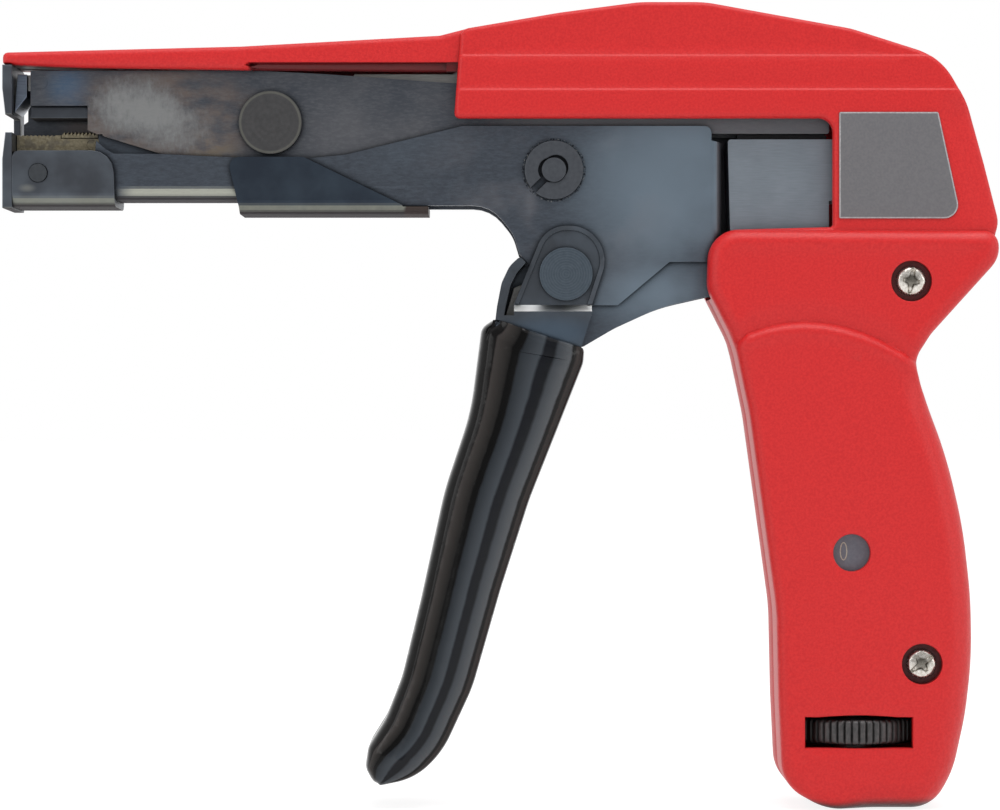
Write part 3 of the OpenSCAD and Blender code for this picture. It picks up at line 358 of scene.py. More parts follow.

# Turned pins and the two snap rings: round bar, faced in a lathe, which leaves fine rings on the heads.
# The big pin of the cutting lever has a painted highlight along the rim of its head.
for name, centre, pitch, spun, rim_highlight, dark, light, nodes in (
        ("turned_trigger_pin", (10.76, 87.81), 0.42, 0.25, 0.0, (0.055, 0.072, 0.092), (0.105, 0.132, 0.16),
         ("trigger_pin", "trigger_pin_ring")),
        ("turned_drive_pin", DRIVE_PIN, 0.9, 0.06, 0.0, (0.062, 0.068, 0.08), (0.12, 0.13, 0.145),
         ("drive_pin", "drive_pin_rings")),
        ("turned_cutter_pin", (-37.97, 112.90), 0.9, 0.07, 0.45, (0.06, 0.06, 0.062), (0.11, 0.108, 0.11),
         ("cutter_pivot_pin",)),
        ("clenched_rivet", (-76.10, 104.49), 0.9, 0.05, 0.0, (0.05, 0.055, 0.062), (0.09, 0.098, 0.108),
         ("clip_rivets",))):
    pin_steel, place = started(name)
    radius = from_axis(place, centre)
    ring = radius.math("SINE", radius * (2 * math.pi / pitch)) * 0.5 + 0.5
    grit = noise(place, 1.6, 3.0, 0.6)
    tone = (ring * spun + grit * 0.7).colour(dark, light)
    # Painted highlight: a pale ring at the rim of the head, used on the cutting lever's pin.
    rim = radius.between(4.65, 4.85) * (1 - radius.between(5.0, 5.2))
    tone = (rim * rim_highlight).colour(tone, (0.2, 0.2, 0.17))
    # Painted shade in the crevices round each head.
    tone = crevice_shaded(tone, place, 0.7, 0.3, 0.9, CREVICE_SHADE)
    surfaced(place, Base_Color=tone, Metallic=0.85, Roughness=grit * 0.2 + 0.3,
             Normal=bumped(ring * spun * 3 + grit, 0.006))
    dressed(pin_steel, *nodes, edge=0.2)

# Working steel inside: bars, levers, pins and springs left bright or oiled, and the tension lever of
# lighter blued bar in the notch of the housing.
for name, low, high, rough, nodes in (
        ("machined_steel", (0.24, 0.24, 0.235), (0.38, 0.38, 0.37), 0.34,
         ("draw_bar", "blade_block", "tension_rod", "tension_nut", "spring_seat", "rod_bearing",
          "tension_lever_pin", "drive_bush", "draw_pin", "tongue_pin", "trigger_tongue")),
        ("blade_steel", (0.10, 0.12, 0.16), (0.17, 0.20, 0.25), 0.24, ("cutter_blade",)),
        ("spring_steel", (0.14, 0.14, 0.14), (0.28, 0.28, 0.27), 0.3,
         ("cutter_spring", "trigger_spring", "pawl_spring")),
        ("tension_lever_steel", (0.19, 0.22, 0.25), (0.25, 0.285, 0.325), 0.42, ("tension_lever",))):
    steel, place = started(name)
    grain = noise(place, 1.2, 4.0, 0.6, (0.3, 1, 5))
    stain = noise(place, 0.25, 3.0, 0.5)
    tone = (grain * 0.7 + stain * 0.4).between(0.25, 0.85).colour(low, high)
    surfaced(place, Base_Color=tone, Metallic=0.85, Roughness=grain * 0.14 + rough,
             Normal=bumped(grain, 0.01))
    dressed(steel, *nodes, edge=0 if name == "spring_steel" else 0.12)

# Gripper: a toothed strip and a sprung pawl on a pin, which hold the tie between them. They are steel,
# passivated yellow, and have gone dull with bare metal on the teeth.
gold, place = started("worn_gold_strip")
flake = noise(place, 1.6, 4.0, 0.7)
tone = flake.between(0.3, 0.75).colour((0.16, 0.135, 0.085), (0.31, 0.275, 0.19))
tone = (noise(place, 0.7, 2.0).between(0.48, 0.62) * 0.6).colour(tone, (0.11, 0.10, 0.085))
surfaced(place, Base_Color=tone, Metallic=0.6, Roughness=flake * 0.3 + 0.35, Normal=bumped(flake, 0.06))
dressed(gold, "toothed_strip", "gripper_pawl", edge=0.1)
dressed(gold, "pawl_pin", edge=0)

# Trigger: a channel of blued sheet whose two ears hang on the trigger pin, each pressed with a low
# border, and flared below them to the width of the sleeve.
trigger_steel, place = started("blued_trigger_steel")
grain = noise(place, 1.0, 4.0, 0.65, FOLDED)
cloud = noise(place, 0.2, 3.0, 0.5)
coat = cloud.between(0.3, 0.75).colour((0.062, 0.070, 0.082), (0.085, 0.10, 0.12))
coat = (spot(place, (8, 78), (12, 4)) * 0.6).colour(coat, (0.075, 0.115, 0.165))
# Painted shade in the crevices.
coat = crevice_shaded(coat, place, 0.9, 0.3, 0.85, CREVICE_SHADE)
# Painted highlight along the flare below the ears, broken in the middle by a painted shadow of the trigger
# pin's head.
flare_highlight = turned_down(place, 0.72, 0.5) * spot(place, (9, 81.8), (20, 1.6), 0.75)
coat = (flare_highlight * (1 - spot(place, (9, 81.8), (4.5, 6), 0.2) * 0.75)).colour(coat, (0.72, 0.73, 0.72))
surfaced(place, Base_Color=coat, Metallic=0.85, Roughness=grain * 0.14 + 0.28, Normal=bumped(grain, 0.01))
dressed(trigger_steel, "trigger_lever", edge=0.25)

# The low border is a thin raised rim on each ear, of the same steel.
LENGTH = 164.0
HEIGHT = 132.6


def corners(rows):
    """Corner rows given as shares of the tool's length and height, with radii as shares of the height."""
    return [((s[0] - 0.5) * LENGTH, s[1] * HEIGHT, s[2] * HEIGHT) for s in rows]


def moved_in(rows, d):
    """The same outline moved in by d, its corner radii kept true to the new line."""
    n = len(rows)
    area = sum(rows[i][0] * rows[(i + 1) % n][1] - rows[(i + 1) % n][0] * rows[i][1] for i in range(n))
    way = math.copysign(1, area)
    made = []
    for i in range(n):
        a, b, c = (np.array(rows[(i + k) % n][:2]) for k in (-1, 0, 1))
        u = (b - a) / np.linalg.norm(b - a)
        v = (c - b) / np.linalg.norm(c - b)
        m = way * np.array([-u[1], u[0]])
        k = way * np.array([-v[1], v[0]])
        turn = (u[0] * v[1] - u[1] * v[0]) * way
        place = b + (m + k) * d / (1 + m @ k)
        made.append((*place, max(rows[i][2] + (-d if turn > 0 else d), 0.05)))
    return made


def rounded(rows, pitch=0.7, least=3):
    """Points of an outline whose corners are arcs, with long straights cut into even steps."""
    n = len(rows)
    points = []
    for i in range(n):
        a, b, c = (np.array(rows[(i + k) % n][:2]) for k in (-1, 0, 1))
        ba, bc = a - b, c - b
        la, lc = np.linalg.norm(ba), np.linalg.norm(bc)
        ba, bc = ba / la, bc / lc
        half = math.acos(max(-1, min(1, ba @ bc))) / 2
        if rows[i][2] == 0 or half > math.pi / 2 - 1e-3:
            points.append(b)
            continue
        reach = min(rows[i][2] / math.tan(half), min(la, lc) * 0.49)
        r = reach * math.tan(half)
        mid = b + (ba + bc) / np.linalg.norm(ba + bc) * reach / math.cos(half)
        start, end = b + ba * reach - mid, b + bc * reach - mid
        sweep = math.pi - 2 * half
        steps = max(least, math.ceil(sweep * r / pitch))
        points += [mid + (start * math.sin(sweep * (1 - k / steps)) + end * math.sin(sweep * k / steps))
                   / math.sin(sweep) for k in range(steps + 1)]
    full = []
    for p, q in zip(points, points[1:] + points[:1]):
        count = max(1, math.ceil(np.linalg.norm(q - p) / (pitch * 2)))
        full += [p + (q - p) * k / count for k in range(count)]
    return np.array(full)


def away_from(points, line):
    """Distance of each point from a line of straight stretches."""
    best = np.full(len(points), 1e9)
    for p, q in zip(line[:-1], line[1:]):
        e = q - p
        t = np.clip(((points - p) @ e) / max(e @ e, 1e-12), 0, 1)
        best = np.minimum(best, np.hypot(*(points - p - t[:, None] * e).T))
    return best


def depth(points, ring):
    """How far each point lies inside a closed ring, negative where it lies outside."""
    odd = np.zeros(len(points), bool)
    for p, q in zip(ring, np.roll(ring, -1, 0)):
        crosses = (p[1] > points[:, 1]) != (q[1] > points[:, 1])
        rise = q[1] - p[1] if q[1] != p[1] else 1
        odd ^= crosses & (points[:, 0] < p[0] + (points[:, 1] - p[1]) * (q[0] - p[0]) / rise)
    best = away_from(points, np.vstack([ring, ring[:1]]))
    return np.where(odd, best, -best)


def relief(name, side, rings, lines, pitch, solid, inner, outer, high):
    """A pressed or moulded piece as one closed mesh. It is cut flat into triangles along rings and lines, and
    solid, inner, outer and high then say where it is and how far from the middle plane each face stands."""
    points, edges = [], []
    for closed, group in ((1, rings), (0, lines)):
        for line in group:
            first, count = len(points), len(line)
            points += [tuple(p) for p in line]
            edges += [(first + k, first + (k + 1) % count) for k in range(count - 1 + closed)]
    low, top = np.min(points, 0), np.max(points, 0)
    points += [(x, z) for x in np.arange(low[0], top[0], pitch) for z in np.arange(low[1], top[1], pitch)]
    flat, _, faces, *_ = delaunay_2d_cdt([Vector(p) for p in points], edges, [], 0, 1e-6)
    flat = np.array([tuple(v) for v in flat])
    faces = np.array(faces)
    faces = faces[solid(flat[faces].mean(1))]
    centre = flat[faces].mean(1)
    under, over = inner(centre), outer(centre)
    face = high(flat)
    around = {}
    for t, (a, b, c) in enumerate(faces):
        for i, j in ((a, b), (b, c), (c, a)):
            around.setdefault((min(i, j), max(i, j)), []).append((t, i, j))
    # At the outline the two halves meet in a fine groove
    groove = {}
    for (t, i, j), *more in around.values():
        if not more and under[t] == 0:
            across = np.array([flat[i][1] - flat[j][1], flat[j][0] - flat[i][0]])
            for k in (i, j):
                groove[k] = groove.get(k, 0) + across / np.linalg.norm(across)
    vertices, index, skins = [], {}, []

    def skin(ids, levels):
        made = []
        for i, level in zip(ids, levels):
            if (i, level) not in index:
                index[i, level] = len(vertices)
                x, z = flat[i]
                if level == 0 and i in groove:
                    x, z = flat[i] + groove[i] / np.linalg.norm(groove[i]) * 0.15
                y = face[i] if level == "face" else level
                vertices.append((x / 1000, side * y / 1000, z / 1000))
            made.append(index[i, level])
        skins.append(made if side < 0 else made[::-1])

    for t, (a, b, c) in enumerate(faces):
        skin((a, b, c), (over[t] or "face",) * 3)
        skin((c, b, a), (under[t],) * 3)
    for (t, i, j), *more in around.values():
        top = over[t] or "face"
        if not more:
            lip = 0.2 if under[t] == 0 else under[t]
            skin((j, i, i, j), (top, top, lip, lip))
            if lip != under[t]:
                skin((j, i, i, j), (lip, lip, 0, 0))
            continue
        other = more[0][0]
        if under[t] != under[other]:
            skin((j, i, i, j), (under[other], under[other], under[t], under[t]))
        if over[t] != over[other]:
            mate = over[other] or "face"
            skin((j, i, i, j), (top, top, mate, mate))
    return placed(name, vertices, skins, 38)


EAR = corners([
    (0.5095, 0.613, 0.002), (0.5454, 0.7226, 0.0434), (0.5873, 0.7226, 0.0434), (0.6082, 0.6863, 0.0434),
    (0.589, 0.613, 0.002)])
EAR_FACE = 7.9
EAR_LOWEST = 82.9
rim, lip = (rounded(moved_in(EAR, d), 0.4) for d in (0.03, 0.75))
for side in (-1, 1):
    border = relief(
        "ear_border_near" if side < 0 else "ear_border_far", side, [rim, lip], [], 3.0,
        lambda p: (depth(p, rim) > 0) & (depth(p, lip) < 0) & (p[:, 1] > EAR_LOWEST),
        lambda p: np.full(len(p), EAR_FACE), lambda p: np.zeros(len(p)),
        lambda p: EAR_FACE + 0.3 - 0.2 * (depth(p, rim) < 0.01))
    border.data.materials.append(trigger_steel)
    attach(border, "trigger")

# Heel of the frame's sides: flat sheet that closes the end of the barrel's fold behind the saddle. It is
# the same blued steel, flush with the sides.
HEEL = corners([(0.362, 0.748, 0), (0.4045, 0.748, 0), (0.4045, 0.7685, 0), (0.362, 0.7685, 0)])
heel_ring = rounded(HEEL)
SHEET = 0.5
side_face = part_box("barrel_frame")[1][1] * 1000 - 0.02
for side in (-1, 1):
    heel = relief("frame_heel_near" if side < 0 else "frame_heel_far", side, [heel_ring], [], 3.0,
                  lambda p: depth(p, heel_ring) > 0, lambda p: np.full(len(p), side_face + 0.02 - SHEET),
                  lambda p: np.zeros(len(p)), lambda p: np.full(len(p), side_face))
    heel.data.materials.append(frame_steel)
    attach(heel, "tool_body")

# Pad on the tension lever: a thin strip of the blued steel under the cutting lever's tail, riveted to the
# tension lever's top between the two tail plates. It lies in the frame steel's painted shade at the rear, so
# it shows as a dark line in the notch.
PAD = [(39.2, 110.1, 0), (54.0, 110.1, 0), (54.0, 111.0, 0), (39.2, 111.0, 0)]
pad_ring = rounded(PAD)
PAD_FROM, PAD_TO = 1.0, 3.4
pad = relief("lever_pad", -1, [pad_ring], [], 3.0, lambda p: depth(p, pad_ring) > 0,
             lambda p: np.full(len(p), PAD_FROM), lambda p: np.zeros(len(p)),
             lambda p: np.full(len(p), PAD_TO))
pad.data.materials.append(frame_steel)
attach(pad, "tension_lever")

# Trigger sleeve: soft black vinyl, dipped over the channel. It rounds the channel's front bend, leaves a
# ridge beside it, and draws tight to a thin rim along the open rear. Its colour carries painted reflections
# as light and dark bands along its length.
SLEEVE = corners([
    (0.481, 0.596, 0.016), (0.494, 0.607, 0.012), (0.584, 0.570, 0.006), (0.583, 0.552, 0.03),
    (0.529, 0.383, 0.3), (0.500, 0.271, 0.3), (0.472, 0.150, 0.2), (0.442, 0.070, 0.3),
    (0.414, 0.037, 0.3), (0.374, 0.027, 0.014), (0.364, 0.049, 0.02), (0.367, 0.075, 0.03),
    (0.385, 0.111, 0.08), (0.401, 0.162, 0.2), (0.420, 0.259, 0.4), (0.444, 0.395, 0.4),
    (0.470, 0.491, 0.3)])
MOUTH = np.array([(-0.5, 83.5), (16.4, 83.5), (12.7, 73.3), (-2.2, 76.0)])
CHANNEL = 9.2
SLEEVE_WALL = 1.5
FRONT = ((0, 6.0), (0.12, 7.2), (0.3, 8.0), (0.7, 8.8), (1.5, 9.5), (2.4, 9.85), (3.4, 10.15), (4.1, 10.32),
         (4.5, 10.30), (5.0, 10.42), (5.8, 10.58), (7.5, 10.7))
REAR = ((0, 8.2), (0.1, 8.9), (0.3, 9.35), (0.5, 9.5), (0.75, 9.52), (1.1, 9.8), (1.7, 10.25), (2.6, 10.55),
        (4.5, 10.7))
whole = rounded(SLEEVE, 0.5)
cuts = [int(np.argmin(np.hypot(*(whole - p).T))) for p in ((-1.2, 80.4), (13.8, 75.4), (-20.4, 3.7))]
lip_line = whole[cuts[0]:cuts[1] + 1]
rear_line = whole[cuts[1]:cuts[2] + 1]
front_line = np.vstack([whole[cuts[2]:], whole[:cuts[0] + 1]])


def sleeve_height(points):
    front, rear = away_from(points, front_line), away_from(points, rear_line)
    lip = away_from(points, lip_line)
    high = np.minimum(np.interp(front, *zip(*FRONT)), np.interp(rear, *zip(*REAR)))
    return np.minimum(high, np.interp(lip, (0, 0.1, 0.3, 0.8, 1.4), (9.9, 10.3, 10.5, 10.45, 10.7)))


def beside(line, d, ring):
    """The line moved d into the ring, where it still lies deep inside."""
    e = np.gradient(line, axis=0)
    normal = np.stack([-e[:, 1], e[:, 0]], 1) / np.linalg.norm(e, axis=1)[:, None]
    moved = line + normal * d * (1 if depth(line[20:21] + normal[20:21] * 0.5, ring)[0] > 0 else -1)
    return moved[(away_from(moved, line) > d * 0.97) & (depth(moved, ring) > min(d, 2.5) * 0.97)]


channel_ring = rounded(moved_in(SLEEVE, SLEEVE_WALL), 0.5)
vinyl, place = started("dipped_black_vinyl")
dust_and_sheen = noise(place, 0.5, 4.0, 0.6)
speck = noise(place, 4.0, 2.0, 0.5)
# Painted reflection: the colour runs in light and dark bands by the share of the way from the front edge to
# the rear, jittered a little by a noise, standing in for the room seen in the gloss.
share = place.node("Attribute", {}, output=2, attribute_name="share") + (dust_and_sheen - 0.5) * 0.02
tone = share.node("ValToRGB", {0: share}, stops=(
    (0.0, (0.003, 0.003, 0.003)), (0.15, (0.004, 0.0035, 0.0035)), (0.165, (0.042, 0.037, 0.035)),
    (0.30, (0.014, 0.013, 0.0125)), (0.325, (0.0012, 0.0012, 0.0013)), (0.385, (0.002, 0.002, 0.002)),
    (0.41, (0.020, 0.024, 0.029)), (0.57, (0.050, 0.058, 0.068)), (0.60, (0.006, 0.007, 0.010)),
    (0.70, (0.006, 0.007, 0.009)), (0.735, (0.044, 0.050, 0.058)), (0.865, (0.085, 0.092, 0.100)),
    (0.885, (0.005, 0.005, 0.005)), (0.91, (0.005, 0.005, 0.005)), (0.93, (0.034, 0.028, 0.026)),
    (0.965, (0.026, 0.021, 0.020)), (0.985, (0.004, 0.004, 0.004))))
surfaced(place, Base_Color=tone, Roughness=dust_and_sheen * 0.06 + 0.12, Specular_IOR_Level=0.18,
         Normal=bumped(speck * 0.1 + noise(place, 0.16, 1.0), 0.008))
for side in (-1, 1):
    sleeve = relief(
        "sleeve_near" if side < 0 else "sleeve_far", side,
        [rounded(moved_in(SLEEVE, d), 0.5) for d in (0, 0.1, 0.3, 0.5, 0.75, 1.1, 1.7, 2.4)]
        + [channel_ring, MOUTH],
        [beside(front_line, d, whole) for d in (3.4, 4.1, 4.5, 5.0, 5.8)], 0.9,
        lambda p: depth(p, whole) > 0,
        lambda p: np.where((depth(p, channel_ring) > 0) | (depth(p, MOUTH) > 0), CHANNEL, 0.0),
        lambda p: np.zeros(len(p)), sleeve_height)
    flat = np.array([tuple(v.co) for v in sleeve.data.vertices])[:, ::2] * 1000
    front, rear = away_from(flat, front_line), away_from(flat, rear_line)
    # Share of the way from the front edge to the rear, which places the painted reflection bands.
    sleeve.data.attributes.new("share", "FLOAT", "POINT").data.foreach_set("value", front / (front + rear))
    sleeve.data.materials.append(vinyl)
    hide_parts("trigger_sleeve")
    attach(sleeve, "trigger")

# Housing: two moulded shells of red painted metal that meet in the middle plane. The strip over the
# barrel, the flat band above it and the grip stand proud of each other with rolled edges.
STRIP = corners([
    (0, 0.9235, 0.003), (0, 0.938, 0.006), (0.239, 0.9455, 0.037), (0.439, 0.959, 0.02), (0.480, 0.972, 0.01),
    (0.480, 0.914, 0.001), (0.240, 0.9165, 0.01), (0.080, 0.9195, 0.01)])
GRIP = corners([
    (0.709, 0.7175, 0.045), (0.997, 0.716, 0.03), (1.0005, 0.683, 0.04), (0.931, 0.588, 0.07),
    (0.914, 0.555, 0.04), (0.9215, 0.524, 0.15), (0.948, 0.437, 0.6), (0.9645, 0.350, 0.6),
    (0.9725, 0.262, 0.6), (0.9735, 0.185, 0.6), (0.967, 0.115, 0.4), (0.954, 0.042, 0.15),
    (0.932, 0, 0.1), (0.825, 0, 0.08),
    (0.782, 0.030, 0.05), (0.778, 0.134, 0.08), (0.776, 0.246, 0.3), (0.749, 0.489, 0.3),
    (0.734, 0.577, 0.15), (0.707, 0.643, 0.04)])
SWELL = np.array([
    (38.6, 76.4), (40.5, 78.1), (43.6, 79.2), (46.7, 79.8), (49.8, 80.0), (53.0, 79.8), (56.1, 79.2),
    (59.2, 78.3), (62.4, 76.9), (65.5, 75.2), (67.1, 74.1), (72, 70.5)])
GRIP_MIDDLE = np.array([(62, 0), (62, 30), (58, 55), (52, 80), (52, 100)])
CREASE = np.array([(71.0, 116.0), (74.7, 105.6), (76.9, 96.0)])
SCREWS = [((s - 0.5) * LENGTH, t * HEIGHT) for s, t in ((0.9104, 0.6531), (0.9207, 0.1802))]
RECESS_R = 3.3
RECESS_FLOOR = 9.5
STRIP_HALF, STRIP_HOLLOW = 7.6, 5.6
BAND_HALF, BAND_HOLLOW = 9.2, 7.2
GRIP_HALF, MOUTH_HOLLOW = 10.75, 6.6
STEP_RUN, STEP_DEPTH = 0.42, 0.32
LEDGE_TOP, LEDGE_DEPTH = 122.72, 1.2
WINDOW = ((0.8506 - 0.5) * LENGTH, 0.3175 * HEIGHT)
WINDOW_R = 3.05
WHEEL = ((0.8577 - 0.5) * LENGTH, 0.0958 * HEIGHT)
SLOT_HALF, SLOT_BELOW, SLOT_ABOVE = 8.8, 2.55, 2.5
SCOOP_HALF, SCOOP_RISE = 6.6, 0.3
WALL = 2.0
STEPS = (117.95, 123.55)


def band(opened):
    """Outline of the flat upper housing, its notch opened by a length."""
    x, g = opened / LENGTH, opened / HEIGHT
    return corners([
        (0.460 - x, 0.966, 0.012), (0.560, 0.987, 0.4), (0.640, 1.0, 0.15), (0.705, 1.0, 0.15),
        (0.852, 0.967, 0.1), (0.941, 0.932, 0.08), (0.969, 0.872, 0.1), (0.985, 0.800, 0.12),
        (1.0, 0.727, 0.03), (0.985, 0.660, 0.03), (0.760, 0.660 - g, 0.002), (0.739 - x, 0.7175 + g, 0.004),
        (0.833 - x, 0.7205 + g, 0.004), (0.833 - x, 0.8555 - g, 0.017), (0.4535 - x, 0.8555 - g, 0.006)])


def circle(centre, r, count=48):
    turn = np.arange(count) * 2 * math.pi / count
    return np.stack([centre[0] + r * np.cos(turn), centre[1] + r * np.sin(turn)], 1)


def wheel_slot(grow=0.0):
    """The wheel's slot, its upper edge scooped out in the middle."""
    low, high, half = WHEEL[1] - SLOT_BELOW - grow, WHEEL[1] + SLOT_ABOVE + grow, SLOT_HALF + grow
    scoop = [(s, high + SCOOP_RISE * math.cos(s / SCOOP_HALF * math.pi / 2))
             for s in np.linspace(SCOOP_HALF, -SCOOP_HALF, 17)]
    ring = [(-half, low), (half, low), (half, high), *scoop, (-half, high)]
    return np.array([(WHEEL[0] + s, t) for s, t in ring])


def rolled(d, half, edge):
    """Height of a slab with a quarter round along its edge, at a distance d in from it."""
    return half - edge + np.sqrt(np.maximum(edge ** 2 - (edge - np.clip(d, 0, edge)) ** 2, 0))


def smooth(t):
    t = np.clip(t, 0, 1)
    return t * t * (3 - 2 * t)


def shell_height(points, detailed):
    """How far a shell's outer face stands from the middle plane."""
    x, z = points.T
    strip, flat, grip = (depth(points, rounded(rows)) for rows in (STRIP, band(0), GRIP))
    high = np.where(strip > -1e-4, rolled(strip, STRIP_HALF, 0.9), 0)
    ledge = smooth((x + 41.6) / 0.3 - (122.7 - z)) * smooth((LEDGE_TOP - z) / 0.12)
    high -= LEDGE_DEPTH * ledge * (strip > -1e-4)
    face = BAND_HALF - STEP_DEPTH * sum(smooth((z - step) / STEP_RUN) for step in STEPS)
    rear = x - np.interp(z, CREASE[::-1, 1], CREASE[::-1, 0])
    face = face - 0.21 * np.clip(rear, 0, 9) * smooth((119 - z) / 6)
    high = np.where(flat > -1e-4, np.maximum(high, rolled(flat, face, 0.8)), high)
    under = np.interp(x, *SWELL.T) - z
    swell = 1 - (1 - np.clip(under / 1.5, 0, 1)) ** 2
    raised = 0.25 * (1 - smooth((grip - 2.2) / 1.8)) * (1 - swell) + 1.25 * swell
    raised = raised - 0.25 * smooth((under - 1.5) / 1.8)
    face = GRIP_HALF + raised - 0.5 * smooth(1 + np.minimum(under, 0) / 3.5)
    face = face - 0.5 * smooth(under / 8) * (1 - np.clip(grip / 11, 0, 1)) ** 2
    ahead = smooth((np.interp(z, GRIP_MIDDLE[:, 1], GRIP_MIDDLE[:, 0]) - x) / 8)
    edge = 2.2 + (2.4 - 3.0 * ahead) * smooth(under / 7)
    high = np.where(grip > -1e-4, np.maximum(high, rolled(grip, face, edge)), high)
    if detailed:
        for ring in [circle(p, RECESS_R) for p in SCREWS] + [circle(WINDOW, WINDOW_R), wheel_slot()]:
            high = high - 0.25 + rolled(-depth(points, ring), 0.25, 0.25)
    return np.where(high < 0.5, 6.5, high)


paint, place = started("red_powder_paint")
grain = noise(place, 2.6, 3.0, 0.6)
fine = noise(place, 6.5, 2.0, 0.6)
wrinkle = place.node("TexVoronoi", {"Vector": place, "Scale": 1.1}, feature="SMOOTH_F1")
x, across, up = (place.axis(k) for k in range(3))
low = 1 - up.between(12, 60)
red = grain.between(0.3, 0.7).colour((0.56, 0.012, 0.014), (0.64, 0.020, 0.020))
# Painted shade in the recessed ledge under the barrel strip.
ledge = x.between(-41.8, -41.0) * (1 - x.between(-5.6, -5.2)) * up.between(115, 120)
ledge = ledge * (1 - up.between(122.6, 122.8))
ledge = ledge * (1 - across.math("ABSOLUTE", across).between(STRIP_HALF, STRIP_HALF + 0.6))
red = (ledge * 0.9).colour(red, (0.055, 0.002, 0.0035))
# Painted shade in each screw's recess.
for centre in SCREWS:
    recess_shade = spot(place, centre, (RECESS_R + 0.1, RECESS_R + 0.1), 0.94) * (1 - across.between(-2, -1))
    red = (recess_shade * 0.8).colour(red, (0.03, 0.0012, 0.0018))
# Painted shade in the crevices.
red = crevice_shaded(red, place, 2.6, 0.12, 0.85, (0.03, 0.001, 0.0015))
surfaced(place, Base_Color=red, Roughness=0.5 - grain * 0.16, Specular_IOR_Level=0.36,
         Normal=bumped(fine * 0.35 + grain * 0.65 + wrinkle * low * 1.4, 0.065))

strip_in = moved_in(STRIP, WALL)
strip_hollow = np.array([(-65.6, 120.9), strip_in[2][:2], strip_in[3][:2], (0, strip_in[3][1]), (0, 120.9)])
mouth_hollow = np.array([(32.8, 83.8), (42.15, 83.8), (42.15, 95.47), (32.8, 95.47)])
hollows = [(STRIP_HOLLOW, strip_hollow), (MOUTH_HOLLOW, mouth_hollow),
           (BAND_HOLLOW, rounded(moved_in(band(WALL * 2), WALL))),
           (RECESS_FLOOR, rounded(moved_in(GRIP, WALL)))]
shapes = [rounded(rows) for rows in (STRIP, band(0), GRIP)]
folds = [rounded(moved_in(rows, d)) for rows, insets in (
    (STRIP, (0.06, 0.2, 0.45, 0.9)), (band(0), (-0.05, 0.03, 0.11, 0.24, 0.4, 0.6, 0.8)),
    (GRIP, (-0.05, 0.04, 0.12, 0.3, 0.6, 1.0, 1.5, 2.2, 3.2, 4.6))) for d in insets]
creases = [np.array([(-7.6, step + g), (76, step + g)]) for step in STEPS for g in (
    0, STEP_RUN / 3, STEP_RUN / 1.5, STEP_RUN)]
creases += [SWELL - (0, g) for g in (-3.5, -1.8, 0, 0.2, 0.5, 0.9, 1.5, 2.4, 3.3, 5, 7)]
creases += [CREASE, np.array([(-41.9, 122.6), (-41.3, LEDGE_TOP), (-5, LEDGE_TOP)]),
            np.array([(-42.2, 122.3), (-41.4, 122.6), (-5, 122.6)])]
for name, side, node in (("shell_near", -1, "left_housing"), ("shell_far", 1, "right_housing")):
    near = side < 0
    bosses = [circle(p, RECESS_R + 0.8 if near else RECESS_R) for p in SCREWS]
    recesses = [circle(p, RECESS_R) for p in SCREWS] if near else []
    openings = [circle(WINDOW, WINDOW_R), wheel_slot()] if near else []
    rims = [circle(p, RECESS_R + g) for p in SCREWS for g in (0.08, 0.25)] if near else []
    rims += [r for g in (0.08, 0.25) for r in (circle(WINDOW, WINDOW_R + g), wheel_slot(g))] if near else []

    def where_solid(p):
        made = np.any([depth(p, s) > 0 for s in shapes], axis=0)
        for ring in openings:
            made = made & (depth(p, ring) < 0)
        return made

    def where_hollow(p):
        made = np.zeros(len(p))
        for level, ring in hollows:
            made = np.where(depth(p, ring) > 0, np.maximum(made, level), made)
        for ring in bosses:
            made = np.where(depth(p, ring) > 0, 0, made)
        return made

    def where_sunk(p):
        made = np.zeros(len(p))
        for ring in recesses:
            made = np.where(depth(p, ring) > 0, RECESS_FLOOR, made)
        return made

    shell = relief(name, side, shapes + folds + [h for _, h in hollows] + bosses + recesses + openings + rims,
                   creases, 2.1, where_solid, where_hollow, where_sunk, lambda p: shell_height(p, near))
    shell.data.materials.append(paint)
    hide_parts(node)
    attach(shell, "tool_body")

# Label plate: a thin grey plate with a pale cut edge, stuck to the upper housing beside the notch.
LABEL = corners([
    (0.839, 0.8625, 0.002), (0.938, 0.8625, 0.002), (0.961, 0.731, 0.017), (0.839, 0.731, 0.002)])
LABEL_FACE = 9.5
LABEL_BACK = 9.2


def flecked(name, dark, light, size, rough, metal=0.0):
    """A flat coat of ink or paint with fine flecks in it."""
    coat, place = started(name)
    fleck = noise(place, size, 3.0, 0.6)
    surfaced(place, Base_Color=fleck.between(0.3, 0.7).colour(dark, light), Metallic=metal,
             Roughness=fleck * 0.15 + rough, Normal=bumped(fleck, 0.01))
    return coat


label_ink = flecked("grey_label_ink", (0.125, 0.122, 0.130), (0.148, 0.144, 0.152), 3.0, 0.38)
label_edge = flecked("pale_label_edge", (0.30, 0.28, 0.29), (0.42, 0.40, 0.41), 3.0, 0.4)
plate, print_edge = rounded(LABEL, 0.4), rounded(moved_in(LABEL, 0.22), 0.4)
label = relief("label", -1, [plate, print_edge], [], 3.0, lambda p: depth(p, plate) > 0,
               lambda p: np.full(len(p), LABEL_BACK), lambda p: np.zeros(len(p)),
               lambda p: LABEL_FACE - 0.06 * (depth(p, plate) < 0.01))
label.data.materials.append(label_ink)
label.data.materials.append(label_edge)
spots = np.array([tuple(face.center) for face in label.data.polygons])[:, ::2] * 1000
for face, inside in zip(label.data.polygons, depth(spots, print_edge)):
    face.material_index = int(inside < 0)
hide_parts("label_plate")
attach(label, "tool_body")

